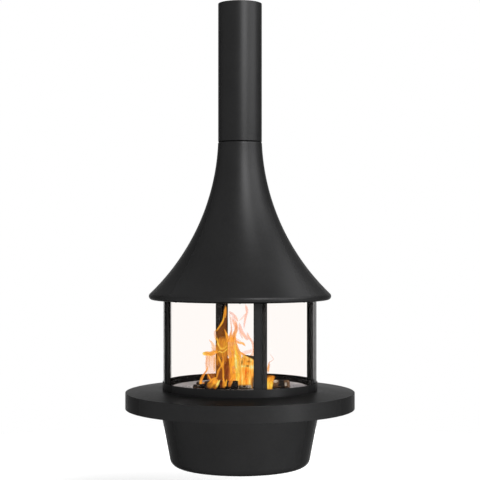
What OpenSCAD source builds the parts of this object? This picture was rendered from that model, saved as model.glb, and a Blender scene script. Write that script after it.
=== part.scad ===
// Hanging central fireplace: a glazed round firebox under a flared hood, carried by its flue pipe.
// Millimetres, +Z up. The origin is the centre of the ceiling flange at the top of the pipe.
// The front faces -Y.

/* [Flue] */
// Outside diameter of the visible flue pipe
pipe_od = 250; // [230:1:320]
// Wall of the visible flue pipe
pipe_wall = 3; // [2:0.5:5]
// Length of the visible flue pipe
pipe_len = 788; // [600:1:1500]
// Bore of the liner's top socket, for a 200 mm spigot
socket_bore = 200.6; // [150:0.1:210]
// Depth of the liner's top socket
socket_len = 60; // [40:1:120]
// Wall of the flue liner
liner_wall = 1.5; // [1:0.5:3]
// Thickness of the ceiling flange
flange_t = 8; // [5:1:15]
// Number of ceiling bolts
flange_bolts = 6; // [4:1:12]
// Diameter of each ceiling bolt hole
flange_hole = 11; // [7:0.5:12]

/* [Hood] */
// Dark groove between the pipe and the neck of the hood
joint_gap = 6; // [3:1:12]
// How far the hood's rim stands outside the glass
hood_over = 82.5; // [77:0.5:120]
// Radius of the hood's concave outline
hood_curve_r = 1266; // [1200:1:1400]
// How far above the neck the outline would run vertical
hood_lead = 53; // [20:1:80]
// Radius of the rolled rim
rim_r = 20; // [14:1:26]
// Sheet of the hood
hood_wall = 3; // [2:0.5:4]
// Width of the lip that turns in under the rim
lip_w = 11; // [8:1:16]
// Sheet of the smoke cone and the soffit
cone_wall = 2; // [1.5:0.5:3]
// Number of ribs between hood and crown ring
rib_count = 8; // [6:1:16]
// Thickness of the ribs, gussets and baffle blades
rib_t = 4; // [3:1:6]
// Smoke gap between the baffle's edge and the cone
smoke_gap = 80; // [60:1:140]
// Height of the smoke baffle above the rim
baffle_up = 189; // [160:1:230]

/* [Damper] */
// Depth of the damper spindle below the neck
damper_drop = 156; // [120:1:220]
// Radius of the damper spindle
spindle_r = 5; // [4:0.5:7]
// Gap between the damper disc and the liner
damper_gap = 4.5; // [3:0.5:8]
// Length of the damper's outside lever
lever_len = 85; // [60:1:120]

/* [Glass drum] */
// Outer radius of the fixed panes
glass_r = 438; // [432:0.5:444]
// Thickness of the glass
glass_t = 4; // [4:0.5:5]
// Height from the collar's top edge to the hood's rim
drum_h = 467; // [350:1:600]
// Gap between the fixed panes and the posts
post_gap = 4; // [3:0.5:6]
// Width of each post
post_w = 75; // [50:1:100]
// Thickness of each post
post_t = 10; // [8:0.5:12]
// Angle of the first post from +X
post_a0 = 15; // [0:1:30]
// Angle that a sliding pane turns through
slide_travel = 88; // [60:1:90]
// Width of the rail under a sliding pane
rail_w = 11; // [11:0.5:14]
// Diameter of the rail's rollers
roller_d = 15; // [12:0.5:18]
// Radius of the rollers' pins
pin_r = 2; // [1.5:0.25:3]

/* [Collar and ledge] */
// Height of the collar round the hearth
collar_h = 44; // [38:1:60]
// Sheet of the collar
collar_wall = 3; // [2:0.5:4]
// Outer radius of the ledge
ledge_r = 654; // [580:1:720]
// Fall of the ledge's top from the collar to its edge
ledge_drop = 15; // [5:1:25]
// Height of the ledge's outer skirt
skirt_h = 93; // [70:1:140]
// Sheet of the ledge
ledge_wall = 3; // [2:0.5:4]
// Number of gussets in the ledge
gusset_count = 12; // [8:1:18]

/* [Bowl] */
// How far the bowl stands outside the collar at the ledge's underside
bowl_over = 13; // [8:1:35]
// Depth of the bowl below the ledge
bowl_depth = 328; // [250:1:400]
// Taper of the bowl's side, degrees
bowl_taper = 10.9; // [5:0.1:14]
// Radius of the bowl's lower corner
bowl_corner = 50; // [30:1:70]
// Sheet of the bowl
bowl_wall = 3; // [2:0.5:4]

/* [Hearth] */
// Depth of the hearth plate below the collar's top edge
hearth_sink = 31; // [28:1:34]
// Gap between the hearth plate and the collar's inner wall
hearth_gap = 12; // [6:1:80]
// Thickness of the hearth plate and the grate
hearth_t = 8; // [6:0.5:10]
// Radius of the grate
grate_r = 140; // [120:1:160]
// Radius of the ash well's bore
well_r = 126; // [100:1:130]
// Depth of the ash well
well_h = 135; // [120:1:180]
// Height of the ash pan
pan_h = 98; // [60:1:100]
// Thickness of the hearth frame
frame_t = 8; // [6:1:12]
// Depth of the refractory bed below the hearth frame's top
bed_h = 57; // [30:1:80]

/* [Air inlet] */
// Radius of the air register's recess in the bowl
register_r = 108; // [95:1:130]
// Depth of the recess
register_h = 24; // [20:1:30]
// Radius of each air hole
air_hole_r = 14; // [8:1:16]
// Radius of the circle of air holes
air_pitch_r = 62; // [58:1:70]

/* [Fire] */
// Radius of the ash bed
ash_r = 262; // [255:1:280]
// Thickness of the ash bed
ash_t = 6; // [4:1:10]

/* [Hidden] */
$fn = 180;

// Clearances
seat = 0.3;       // between pieces that stand close without a fit
run = 0.05;       // radial running clearance of a shaft
glass_play = 0.35; // each side of a pane in its groove
bolt_play = 0.3;  // radial clearance of a bolt in a plain hole

// Colours
c_paint = [0.17, 0.17, 0.17];
c_steel = [0.55, 0.55, 0.57];
c_glass = [0.95, 0.92, 0.9, 0.3];
c_rope = [0.25, 0.24, 0.23];
c_stone = [0.62, 0.56, 0.48];
c_wood = [0.3, 0.2, 0.13];

// Flue
pipe_r = pipe_od / 2;
pipe_in = pipe_r - pipe_wall;
socket_r = socket_bore / 2;
socket_out = socket_r + liner_wall;
liner_out = socket_r;
liner_in = liner_out - liner_wall;
sleeve_out = pipe_in - seat;
sleeve_t = 3.7;
sleeve_up = 48;
sleeve_down = 56;
neck_screw_step = 27;
wool_in = liner_out + seat;
wool_out = sleeve_out - sleeve_t - seat;
wool_top = socket_len + 10;
flange_in = socket_out + seat;
flange_pcd = flange_in + sleeve_out;
z_pipe = -pipe_len;
z_neck = z_pipe - joint_gap;

// Hood outline: one arc about hood_c, then the rolled rim about rim_c, tangent to it
hood_r = glass_r + hood_over;
throat_r = pipe_r - 0.5;
hood_c = [throat_r + hood_curve_r, z_neck + hood_lead];
rim_c = [
  hood_r - rim_r,
  hood_c[1] - sqrt(pow(hood_curve_r + rim_r, 2) - pow(hood_c[0] - hood_r + rim_r, 2))
];
z_rim = rim_c[1] - rim_r;
blend = 1; // overlap of the rim with the sheet and the lip that it joins
z_tangent = rim_c[1] + (hood_c[1] - rim_c[1]) * rim_r / (hood_curve_r + rim_r);
lip_in = rim_c[0] - lip_w;
soffit_screw_r = lip_in + lip_w / 2 - 1;
rib_h = 120;
function hood_at(z) = hood_c[0] - sqrt(pow(hood_curve_r, 2) - pow(z - hood_c[1], 2));

// Glass drum, from the outside in
pane_in = glass_r - glass_t;
post_out = pane_in - post_gap;
post_in = post_out - post_t;
rail_gap = 2.5;
rail_out = post_in - rail_gap;
rail_in = rail_out - rail_w;
rail_mid = (rail_out + rail_in) / 2;
slide_out = rail_mid + glass_t / 2;
slide_in = rail_mid - glass_t / 2;
post_half = asin(post_w / 2 / post_out);
post_mid = (post_out + post_in) / 2;

// Crown ring
crown_hide = 2;
crown_depth = 15;
crown_t = 4;
groove_lap = 1.5;
crown_lap = 6.5;
crown_in = rail_in - crown_lap;
z_crown_low = z_rim + crown_hide;
z_crown = z_crown_low + crown_depth;
z_crown_top = z_crown + crown_t;
crown_edge = rim_c[0] + crown_t;
crown_lip = glass_r + glass_play;
crown_rim = 3.7;
crown_out = crown_lip + crown_rim;

// Smoke cone: an arc about the hood's centre, from the crown ring up to the liner
cone_foot = crown_in + crown_t;
cone_rho = norm([hood_c[0] - cone_foot, z_crown_top - hood_c[1]]) - cone_wall;
cuff_in = liner_out + seat;
cuff_up = 40;
cuff_lap = 10;
z_cone_top = hood_c[1] - sqrt(pow(cone_rho + cone_wall, 2) - pow(hood_c[0] - cuff_in, 2));
z_liner = z_cone_top - cuff_lap;
z_baffle = z_rim + baffle_up;
cone_at_baffle = hood_c[0] - sqrt(pow(cone_rho + cone_wall, 2) - pow(z_baffle - hood_c[1], 2));
baffle_r = cone_at_baffle - smoke_gap;
blade_h = 150;
blade_lap = 40; // how far a blade reaches over the baffle

// Damper
z_damper = z_neck - damper_drop;
damper_r = liner_in - damper_gap;
bush_wall = 3;
bush_r = spindle_r + bush_wall;
bush_len = 12;
lever_out = 26;
lever_w = 10;
lever_t = 8;
lever_hub = 14;
lever_knob = 11;
shell_y = hood_at(z_damper);
spindle_back = shell_y + lever_out;
spindle_front = liner_out + 8;
plate_t = 3;
hub_half = damper_r - 20;

// Collar, hearth and ledge levels
z_collar = z_rim - drum_h;
z_ledge = z_collar - collar_h;
z_floor = z_ledge + collar_wall;
collar_in = glass_r + 1;
collar_out = collar_in + collar_wall;
inner_wall_out = rail_in - rail_gap;
inner_wall_in = inner_wall_out - collar_wall;
inner_wall_drop = 10;
inner_wall_top = z_collar - inner_wall_drop;
hearth_r = inner_wall_in - hearth_gap;
z_hearth = z_collar - hearth_sink;
z_hearth_low = z_hearth - hearth_t;
z_frame = z_ledge - ledge_wall;
z_frame_low = z_frame - frame_t;
z_skirt = z_ledge - ledge_drop;
z_under = z_skirt - skirt_h;
z_bowl = z_under - bowl_depth;
ledge_in = inner_wall_in;
under_lip = 14;

// Slide track, rail and rollers
track_h = 2;
track_w = 6;
z_track = z_floor + track_h;
roller_r = roller_d / 2;
roller_w = 5;
z_roller = z_track + seat + roller_r;
web_t = 3;
z_pane_low = z_roller + roller_r + 1 + web_t;
z_rail_top = z_pane_low + 10;
z_cheek = z_track + 2.5;
cheek_gap = roller_w + 0.8;
z_pane_top = z_crown - 2.5;
pane_inset = 1;
pane_span = 90 - 2 * pane_inset;
glass_inset = 0.35;
stile_a = 1.4;
stile_skin = 1.65;
stile_in = slide_in - glass_play - stile_skin;
stile_out = slide_out + glass_play + stile_skin + 1;
roller_inset = 10;
stop_span = 180 - pane_span - slide_travel;
stop_play = 0.05;

// Fixed panes and their rope seals
fixed_inset = 0.7;
seal_h = 7;
z_fixed_low = z_floor + seal_h;
seal_top_h = 3.7;
z_fixed_top = z_crown - seal_top_h;
strip_from = 1.5;
strip_w = 1.5;
strip_to = strip_from + strip_w;

// Bowl
flange_bowl_w = 33;
bowl_r = collar_out + bowl_over;
function bowl_side(z) = bowl_r + (z - z_under) * tan(bowl_taper);
bowl_c = [
  bowl_side(z_bowl + bowl_corner) - bowl_corner / cos(bowl_taper),
  z_bowl + bowl_corner
];
frame_lap = 17;
frame_in = hearth_r - frame_lap;
frame_out = bowl_side(z_frame_low) - 2;
frame_bolt_r = frame_out - 15;
slope_r = frame_out + 2;
bed_out = inner_wall_in - seat;

// Ash well and pan
well_wall = 2;
well_flange = 32;
z_well = z_hearth_low - well_h;
pan_r = well_r - 4;
pan_wall = 1.5;

// Air inlet
z_register = z_bowl + register_h;
shutter_t = 3;
shutter_r = register_r - 12;
knob_inset = 12;
pivot_r = 5;
knob_h = 12;
knob_w = 8;
knob_len = 56;
shutter_turn = 30;
shutter_gap = 0.4;

// Fasteners
m6 = 3;
m8 = 4;
screw_r = 2.5;
screw_head = 1.5;
head_w = 1.7;     // hexagon over the corners, in shank diameters
head_h = 1.3;     // height of a hexagon head, in shank radii
disc_w = 1.8;     // a round head, in shank diameters
end_gap = 0.5;    // from a screw's end to the outer face
post_bolt_a = 2.6;
thread_in = 14;

// Fire: each log's middle, radius and length
ash_top = z_hearth + ash_t;
charred_x = -105;
charred_y = -195;
charred_r = 23;
charred_len = 185;
left_x = -205;
left_y = -140;
left_r = 12;
left_len = 120;
right_x = 182;
right_y = -160;
right_r = 26;
right_len = 190;
back_x = -74;
back_y = -40;
back_r = 22;
back_len = 160;
back_tilt = 6;
upright_x = 32;
upright_y = -170;
upright_r = 40;
upright_len = 180;
upright_tilt = 8;

// Building blocks
module ring(r_out, r_in, z0, z1) {
  difference() {
    translate([0, 0, z0]) cylinder(r = r_out, h = z1 - z0);
    translate([0, 0, z0 - 1]) cylinder(r = r_in, h = z1 - z0 + 2);
  }
}
module arc_ring(r_out, r_in, z0, z1, a0, a1) {
  rotate([0, 0, a0]) rotate_extrude(angle = a1 - a0)
    translate([r_in, z0]) square([r_out - r_in, z1 - z0]);
}
module round_copies(count, start = 0) {
  for (i = [0 : count - 1]) rotate([0, 0, start + i * 360 / count]) children();
}
module annulus(c, r_out, r_in) {
  translate(c) difference() {
    circle(r = r_out, $fn = 720);
    circle(r = r_in, $fn = 720);
  }
}
module radial_plate(t) {
  rotate([90, 0, 0]) translate([0, 0, -t / 2]) linear_extrude(height = t) children();
}
// A bolt with its head's underside at z = 0 and its shank going up, or down when up is false
module bolt(r, len, up = true) {
  rotate([up ? 0 : 180, 0, 0]) {
    translate([0, 0, -r * head_h]) cylinder(r = r * head_w, h = r * head_h, $fn = 6);
    cylinder(r = r, h = len, $fn = 48);
  }
}
module post_bolt_places() {
  for (k = [0 : 3], s = [-1, 1])
    rotate([0, 0, post_a0 + 90 * k + s * post_bolt_a]) translate([post_mid, 0, 0]) children();
}

// Flue
module ceiling_flange() {
  color(c_paint) difference() {
    ring(sleeve_out, flange_in, -flange_t, 0);
    round_copies(flange_bolts) translate([flange_pcd / 2, 0, -flange_t - 1])
      cylinder(d = flange_hole, h = flange_t + 2, $fn = 48);
  }
}
module flue_pipe() {
  color(c_paint) difference() {
    ring(pipe_r, pipe_in, z_pipe, 0);
    neck_screw_places(z_pipe + sleeve_up / 2) cylinder(r = screw_r + bolt_play, h = pipe_r, $fn = 48);
  }
}
module flue_liner() {
  color(c_steel) difference() {
    rotate_extrude() difference() {
      union() {
        translate([liner_in, z_liner]) square([liner_wall, -z_liner - socket_len + liner_wall]);
        translate([liner_in, -socket_len - liner_wall]) square([socket_out - liner_in, liner_wall]);
        translate([socket_r, -socket_len - liner_wall]) square([liner_wall, socket_len + liner_wall]);
      }
      translate([0, -socket_len]) square([socket_r, socket_len + 1]);
    }
    for (s = [-90, 90]) translate([0, 0, z_damper]) rotate([s, 0, 0])
      cylinder(r = bush_r + run, h = pipe_r, $fn = 48);
  }
}
module flue_insulation() {
  color(c_stone) ring(wool_out, wool_in, z_pipe + joint_gap, -wool_top);
}
module neck_screw_places(z) {
  for (k = [-1 : 1])
    rotate([0, 0, 90 + k * neck_screw_step]) translate([0, 0, z]) rotate([0, 90, 0]) children();
}
module neck_sleeve() {
  color(c_paint) difference() {
    ring(sleeve_out, sleeve_out - sleeve_t, z_neck - sleeve_down, z_pipe + sleeve_up);
    neck_screw_places(z_pipe + sleeve_up / 2) cylinder(r = screw_r, h = pipe_r, $fn = 48);
    neck_screw_places(z_neck - sleeve_down / 2) cylinder(r = screw_r, h = pipe_r, $fn = 48);
  }
}
module neck_screws() {
  low_screw_end = hood_at(z_neck - sleeve_down / 2) - end_gap;
  color(c_paint) {
    neck_screw_places(z_pipe + sleeve_up / 2) translate([0, 0, sleeve_out - sleeve_t])
      cylinder(r = screw_r, h = sleeve_t + seat + pipe_wall - end_gap, $fn = 48);
    neck_screw_places(z_neck - sleeve_down / 2) translate([0, 0, sleeve_out - sleeve_t])
      cylinder(r = screw_r, h = low_screw_end - sleeve_out + sleeve_t, $fn = 48);
  }
}

// Hood
module hood_shell() {
  color(c_paint) difference() {
    rotate_extrude() {
      intersection() {
        annulus(hood_c, hood_curve_r + hood_wall, hood_curve_r);
        translate([throat_r - hood_wall - 1, z_tangent]) square([hood_r, z_neck - z_tangent]);
      }
      intersection() {
        annulus(rim_c, rim_r, rim_r - hood_wall);
        translate([rim_c[0] - blend, z_rim - 1]) square([rim_r + 1 + blend, z_tangent - z_rim + 1 + blend]);
      }
      translate([lip_in, z_rim]) square([lip_w, hood_wall]);
    }
    neck_screw_places(z_neck - sleeve_down / 2) cylinder(r = screw_r + bolt_play, h = pipe_r * 2, $fn = 48);
    translate([0, 0, z_damper]) rotate([-90, 0, 0]) cylinder(r = bush_r + run, h = hood_r, $fn = 48);
    round_copies(rib_count) translate([soffit_screw_r, 0, z_rim - 1])
      cylinder(r = screw_r + bolt_play, h = hood_wall + 2, $fn = 48);
  }
}
module hood_ribs() {
  color(c_paint) round_copies(rib_count, 180 / rib_count) radial_plate(rib_t) difference() {
    intersection() {
      annulus(hood_c, cone_rho - seat, hood_curve_r + hood_wall + seat);
      translate([0, z_crown_top]) square([crown_edge, rib_h]);
    }
    translate([0, z_crown_top - 1]) square([crown_out, rib_h + 2]);
  }
}
module hood_soffit() {
  color(c_paint) difference() {
    ring(rim_c[0] - blend - seat, crown_out + seat, z_rim + hood_wall, z_rim + hood_wall + cone_wall);
    round_copies(rib_count) translate([soffit_screw_r, 0, z_rim])
      cylinder(r = screw_r, h = hood_wall * 3, $fn = 48);
  }
}
module soffit_screws() {
  color(c_paint) round_copies(rib_count) translate([soffit_screw_r, 0, z_rim]) {
    cylinder(r = screw_r, h = hood_wall + cone_wall + 2, $fn = 48);
    translate([0, 0, -screw_head]) cylinder(r = screw_r * disc_w, h = screw_head, $fn = 48);
  }
}
module smoke_cone() {
  color(c_steel) rotate_extrude() {
    intersection() {
      annulus(hood_c, cone_rho + cone_wall, cone_rho);
      translate([cuff_in, z_crown_top]) square([hood_r, z_cone_top - z_crown_top + 20]);
    }
    translate([cuff_in, z_cone_top - 2]) square([cone_wall, cuff_up]);
  }
}
module baffle_blades() {
  color(c_steel) round_copies(3, 30) radial_plate(rib_t) difference() {
    translate([baffle_r - blade_lap, z_baffle]) square([blade_lap + smoke_gap, blade_h]);
    translate(hood_c) circle(r = cone_rho + cone_wall + seat, $fn = 720);
  }
}
module smoke_baffle() {
  color(c_steel) translate([0, 0, z_baffle - rib_t]) cylinder(r = baffle_r, h = rib_t);
}

// Damper
module damper_bushes() {
  color(c_steel) translate([0, 0, z_damper]) rotate([-90, 0, 0]) {
    for (z0 = [-liner_out - bush_len / 2, liner_out - bush_len / 2, shell_y - bush_len / 2 - 1])
      difference() {
        translate([0, 0, z0]) cylinder(r = bush_r, h = bush_len, $fn = 48);
        translate([0, 0, z0 - 1]) cylinder(r = spindle_r + run, h = bush_len + 2, $fn = 48);
      }
  }
}
module damper_plate() {
  color(c_steel) translate([0, 0, z_damper]) difference() {
    union() {
      rotate([0, 90, 0]) translate([0, 0, -plate_t / 2]) cylinder(r = damper_r, h = plate_t);
      rotate([90, 0, 0]) translate([0, 0, -hub_half]) cylinder(r = bush_r, h = 2 * hub_half, $fn = 48);
    }
    rotate([90, 0, 0]) translate([0, 0, -pipe_r]) cylinder(r = spindle_r, h = pipe_od, $fn = 48);
  }
}
module damper_spindle() {
  color(c_steel) translate([0, spindle_back, z_damper]) rotate([90, 0, 0])
    cylinder(r = spindle_r, h = spindle_back + spindle_front, $fn = 48);
}
module damper_lever() {
  color(c_paint) translate([0, spindle_back, z_damper]) rotate([90, 0, 0]) difference() {
    union() {
      cylinder(r = lever_knob, h = lever_hub, $fn = 48);
      translate([-lever_w / 2, 0, (lever_hub - lever_t) / 2]) cube([lever_w, lever_len, lever_t]);
      translate([0, lever_len, 1]) cylinder(r = lever_knob, h = lever_hub - 2, $fn = 48);
    }
    translate([0, 0, -1]) cylinder(r = spindle_r, h = lever_hub + 2, $fn = 48);
  }
}

// Glass drum
module crown_ring() {
  color(c_paint) difference() {
    union() {
      ring(crown_edge, crown_in, z_crown, z_crown_top);
      ring(slide_in - glass_play, rail_in - groove_lap, z_crown_low, z_crown);
      ring(post_in - seat, slide_out + glass_play, z_crown_low, z_crown);
      ring(pane_in - glass_play, post_out + seat, z_crown_low, z_crown);
      ring(crown_out, crown_lip, z_crown_low, z_crown);
    }
    post_bolt_places() translate([0, 0, z_crown_low - 1])
      cylinder(r = m6 + bolt_play, h = crown_depth + crown_t + 2, $fn = 48);
  }
}
module post(k) {
  a = post_a0 + 90 * k;
  color(c_paint) difference() {
    arc_ring(post_out, post_in, z_floor, z_crown, a - post_half, a + post_half);
    post_bolt_places() {
      translate([0, 0, z_floor - 1]) cylinder(r = m6, h = thread_in + 1, $fn = 48);
      translate([0, 0, z_crown - thread_in]) cylinder(r = m6, h = thread_in + 1, $fn = 48);
    }
  }
}
module post_bolts() {
  color(c_steel) post_bolt_places() {
    translate([0, 0, z_frame_low]) bolt(m6, z_floor - z_frame_low + thread_in - 1);
    translate([0, 0, z_crown_top]) bolt(m6, crown_t + thread_in - 1, up = false);
  }
}
module fixed_pane(k) {
  a = post_a0 + 90 * k;
  color(c_glass)
    arc_ring(glass_r, pane_in, z_fixed_low, z_fixed_top, a + fixed_inset, a + 90 - fixed_inset);
}
module pane_seals() {
  color(c_rope) for (k = [1, 3]) {
    a = post_a0 + 90 * k;
    arc_ring(glass_r, pane_in, z_floor, z_fixed_low, a + fixed_inset, a + 90 - fixed_inset);
    arc_ring(glass_r, pane_in, z_fixed_top, z_crown, a + fixed_inset, a + 90 - fixed_inset);
    for (b = [a + strip_from, a + 90 - strip_to])
      arc_ring(pane_in - seat, post_out + seat, z_fixed_low + seat, z_crown_low - seat, b, b + strip_w);
  }
}
module sliding_pane(k) {
  a = post_a0 + 90 * k + pane_inset + glass_inset;
  color(c_glass) arc_ring(slide_out, slide_in, z_pane_low, z_pane_top, a, a + pane_span - 2 * glass_inset);
}
module roller_places(k, nums) {
  a = post_a0 + 90 * k + pane_inset;
  for (n = nums)
    rotate([0, 0, n == 1 ? a + roller_inset : a + pane_span - roller_inset])
      translate([0, 0, z_roller]) rotate([0, 90, 0]) children();
}
// The rail holds the pane's lower edge, its two end stiles and the roller pins
module pane_rail(k) {
  a0 = post_a0 + 90 * k + pane_inset;
  a1 = a0 + pane_span;
  color(c_paint) difference() {
    union() {
      arc_ring(rail_out, rail_in, z_cheek, z_rail_top, a0, a1);
      arc_ring(stile_out, stile_in, z_pane_low, z_crown_low - 1, a0, a0 + stile_a);
      arc_ring(stile_out, stile_in, z_pane_low, z_crown_low - 1, a1 - stile_a, a1);
    }
    arc_ring(slide_out + glass_play, slide_in - glass_play, z_pane_low, z_crown,
      a0 + glass_inset, a1 - glass_inset);
    arc_ring(rail_mid + cheek_gap / 2, rail_mid - cheek_gap / 2, z_cheek - 1, z_pane_low - web_t,
      a0 - 1, a1 + 1);
    roller_places(k, [1, 2]) cylinder(r = pin_r, h = rail_out + 1, $fn = 48);
  }
}
module roller_pins(k) {
  color(c_steel) roller_places(k, [1, 2]) translate([0, 0, rail_in + 0.5])
    cylinder(r = pin_r, h = rail_w - 1, $fn = 48);
}
module roller(k, n) {
  color(c_steel) roller_places(k, [n]) translate([0, 0, rail_mid - roller_w / 2]) difference() {
    cylinder(r = roller_r, h = roller_w, $fn = 96);
    translate([0, 0, -1]) cylinder(r = pin_r + run, h = roller_w + 2, $fn = 48);
  }
}
module slide_track() {
  color(c_steel) ring(rail_mid + track_w / 2, rail_mid - track_w / 2, z_floor, z_track);
}
module track_stops() {
  color(c_steel) for (k = [0, 2]) {
    a = post_a0 + 90 * k + pane_inset;
    arc_ring(rail_out, rail_in, z_cheek, z_rail_top, a - stop_span + stop_play, a - stop_play);
    arc_ring(rail_out, rail_mid + track_w / 2 + seat, z_floor, z_cheek,
      a - stop_span + stop_play, a - stop_play);
  }
}

// Collar and ledge
module collar_ring() {
  color(c_paint) difference() {
    union() {
      ring(collar_out, collar_in, z_ledge, z_collar);
      ring(collar_out, inner_wall_in, z_ledge, z_floor);
      ring(inner_wall_out, inner_wall_in, z_ledge, inner_wall_top);
    }
    post_bolt_places() translate([0, 0, z_ledge - 1])
      cylinder(r = m6 + bolt_play, h = collar_wall + 2, $fn = 48);
  }
}
module ledge_shell() {
  color(c_paint) difference() {
    rotate_extrude() polygon([
      [ledge_in, z_ledge], [slope_r, z_ledge], [ledge_r, z_skirt], [ledge_r, z_under],
      [ledge_r - under_lip, z_under], [ledge_r - under_lip, z_under + ledge_wall],
      [ledge_r - ledge_wall, z_under + ledge_wall], [ledge_r - ledge_wall, z_skirt - ledge_wall],
      [slope_r, z_ledge - ledge_wall], [ledge_in, z_ledge - ledge_wall]
    ]);
    post_bolt_places() translate([0, 0, z_ledge - ledge_wall - 1])
      cylinder(r = m6 + bolt_play, h = ledge_wall + 2, $fn = 48);
    underplate_places() translate([0, 0, z_under - 1])
      cylinder(r = screw_r + bolt_play, h = ledge_wall + 2, $fn = 48);
  }
}
module underplate_places() {
  round_copies(gusset_count) translate([ledge_r - under_lip / 2 - 2, 0, 0]) children();
}
module ledge_gussets() {
  z_low = z_under + 2 * ledge_wall;
  r_out = ledge_r - under_lip - 8;
  fall = ledge_drop / (ledge_r - slope_r);
  r_top = bowl_side(z_frame) + 1;
  color(c_paint) round_copies(gusset_count, 180 / gusset_count) radial_plate(rib_t) polygon([
    [r_top, z_frame - (r_top - slope_r) * fall - seat],
    [r_out, z_frame - (r_out - slope_r) * fall - seat],
    [r_out, z_low],
    [bowl_side(z_low) + 1, z_low]
  ]);
}
module ledge_underplate() {
  color(c_paint) difference() {
    ring(ledge_r - ledge_wall - seat, bowl_side(z_under + 2 * ledge_wall) + seat,
      z_under + ledge_wall, z_under + 2 * ledge_wall);
    underplate_places() translate([0, 0, z_under]) cylinder(r = screw_r, h = ledge_wall * 3, $fn = 48);
  }
}
module underplate_screws() {
  color(c_paint) underplate_places() translate([0, 0, z_under]) {
    cylinder(r = screw_r, h = 2 * ledge_wall + 2, $fn = 48);
    translate([0, 0, -screw_head]) cylinder(r = screw_r * disc_w, h = screw_head, $fn = 48);
  }
}

// Hearth frame and bowl
module hearth_frame() {
  color(c_steel) difference() {
    ring(frame_out, frame_in, z_frame_low, z_frame);
    post_bolt_places() translate([0, 0, z_frame_low - 1])
      cylinder(r = m6 + bolt_play, h = frame_t + 2, $fn = 48);
    frame_bolt_places() translate([0, 0, z_frame_low - 1]) cylinder(r = m8, h = frame_t, $fn = 48);
  }
}
module frame_bolt_places() {
  round_copies(8, 22.5) translate([frame_bolt_r, 0, 0]) children();
}
module frame_bolts() {
  color(c_steel) frame_bolt_places() translate([0, 0, z_frame_low - bowl_wall])
    bolt(m8, bowl_wall + frame_t - 1.5);
}
module bowl_outline(off) {
  c = bowl_c;
  polygon([
    [0, z_bowl + off], [c[0], z_bowl + off], c,
    [c[0] + (bowl_corner - off) * cos(bowl_taper), c[1] - (bowl_corner - off) * sin(bowl_taper)],
    [bowl_side(z_frame_low) - off / cos(bowl_taper), z_frame_low],
    [0, z_frame_low]
  ]);
  intersection() {
    translate(c) circle(r = bowl_corner - off);
    translate([c[0], z_bowl]) square([bowl_corner, bowl_corner]);
  }
}
module bowl_shell() {
  color(c_paint) difference() {
    rotate_extrude() difference() {
      union() {
        difference() {
          bowl_outline(0);
          bowl_outline(bowl_wall);
        }
        translate([bowl_side(z_frame_low) - flange_bowl_w, z_frame_low - bowl_wall])
          square([flange_bowl_w - 2, bowl_wall]);
      }
      translate([-1, z_bowl - 1]) square([register_r + 1, bowl_wall + 2]);
    }
    frame_bolt_places() translate([0, 0, z_frame_low - bowl_wall - 1])
      cylinder(r = m8 + bolt_play, h = bowl_wall + 2, $fn = 48);
  }
}
module refractory_bed() {
  color(c_stone) difference() {
    union() {
      ring(bed_out, well_r + well_wall + seat, z_frame, z_hearth_low);
      ring(frame_in - seat, well_r + well_wall + seat, z_frame - bed_h, z_frame);
    }
    translate([0, 0, z_hearth_low - well_wall])
      cylinder(r = well_r + well_flange + seat, h = well_wall + 1);
  }
}
module hearth_plate() {
  color(c_steel) ring(hearth_r, grate_r, z_hearth_low, z_hearth);
}
module ash_well() {
  color(c_steel) difference() {
    union() {
      ring(well_r + well_flange, well_r, z_hearth_low - well_wall, z_hearth_low);
      ring(well_r + well_wall, well_r, z_well, z_hearth_low);
      translate([0, 0, z_well]) cylinder(r = well_r + 1, h = well_wall);
    }
    round_copies(4) translate([0, 0, z_well + 20]) rotate([0, 90, 0])
      cylinder(r = 12, h = well_r * 2, $fn = 48);
  }
}

// Ash pan with a fixed strap handle
module ash_pan() {
  z0 = z_well + well_wall;
  strap_w = 20;
  color(c_steel) {
    ring(pan_r, pan_r - pan_wall, z0, z0 + pan_h);
    translate([0, 0, z0]) cylinder(r = pan_r - pan_wall / 2, h = pan_wall);
    translate([0, 0, z0 + pan_h - 30]) rotate([90, 0, 0]) translate([0, 0, -strap_w / 2])
      linear_extrude(height = strap_w) difference() {
        translate([-pan_r + pan_wall / 2, 0]) square([2 * pan_r - pan_wall, 48]);
        translate([-pan_r + 2 * pan_wall, -1]) square([2 * pan_r - 4 * pan_wall, 47]);
      }
  }
}

// Air inlet
module air_places() {
  round_copies(6) translate([air_pitch_r, 0, 0]) children();
}
module air_register() {
  color(c_steel) difference() {
    union() {
      ring(register_r + 16, register_r - 3, z_bowl + bowl_wall, z_bowl + 2 * bowl_wall);
      ring(register_r - seat, register_r - 3, z_bowl, z_register);
      translate([0, 0, z_register - bowl_wall]) cylinder(r = register_r - 1, h = bowl_wall);
    }
    air_places() translate([0, 0, z_register - bowl_wall - 1])
      cylinder(r = air_hole_r, h = bowl_wall + 2, $fn = 64);
    translate([0, 0, z_register - bowl_wall - 1]) cylinder(r = pivot_r, h = bowl_wall + 2, $fn = 48);
  }
}
module shutter_pivot() {
  z_head = z_register - bowl_wall - 2 * shutter_gap - shutter_t;
  color(c_steel) {
    translate([0, 0, z_head - 3]) cylinder(r = pivot_r * 1.8, h = 3, $fn = 48);
    translate([0, 0, z_head - 1]) cylinder(r = pivot_r, h = z_register - z_head + 6, $fn = 48);
  }
}
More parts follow.
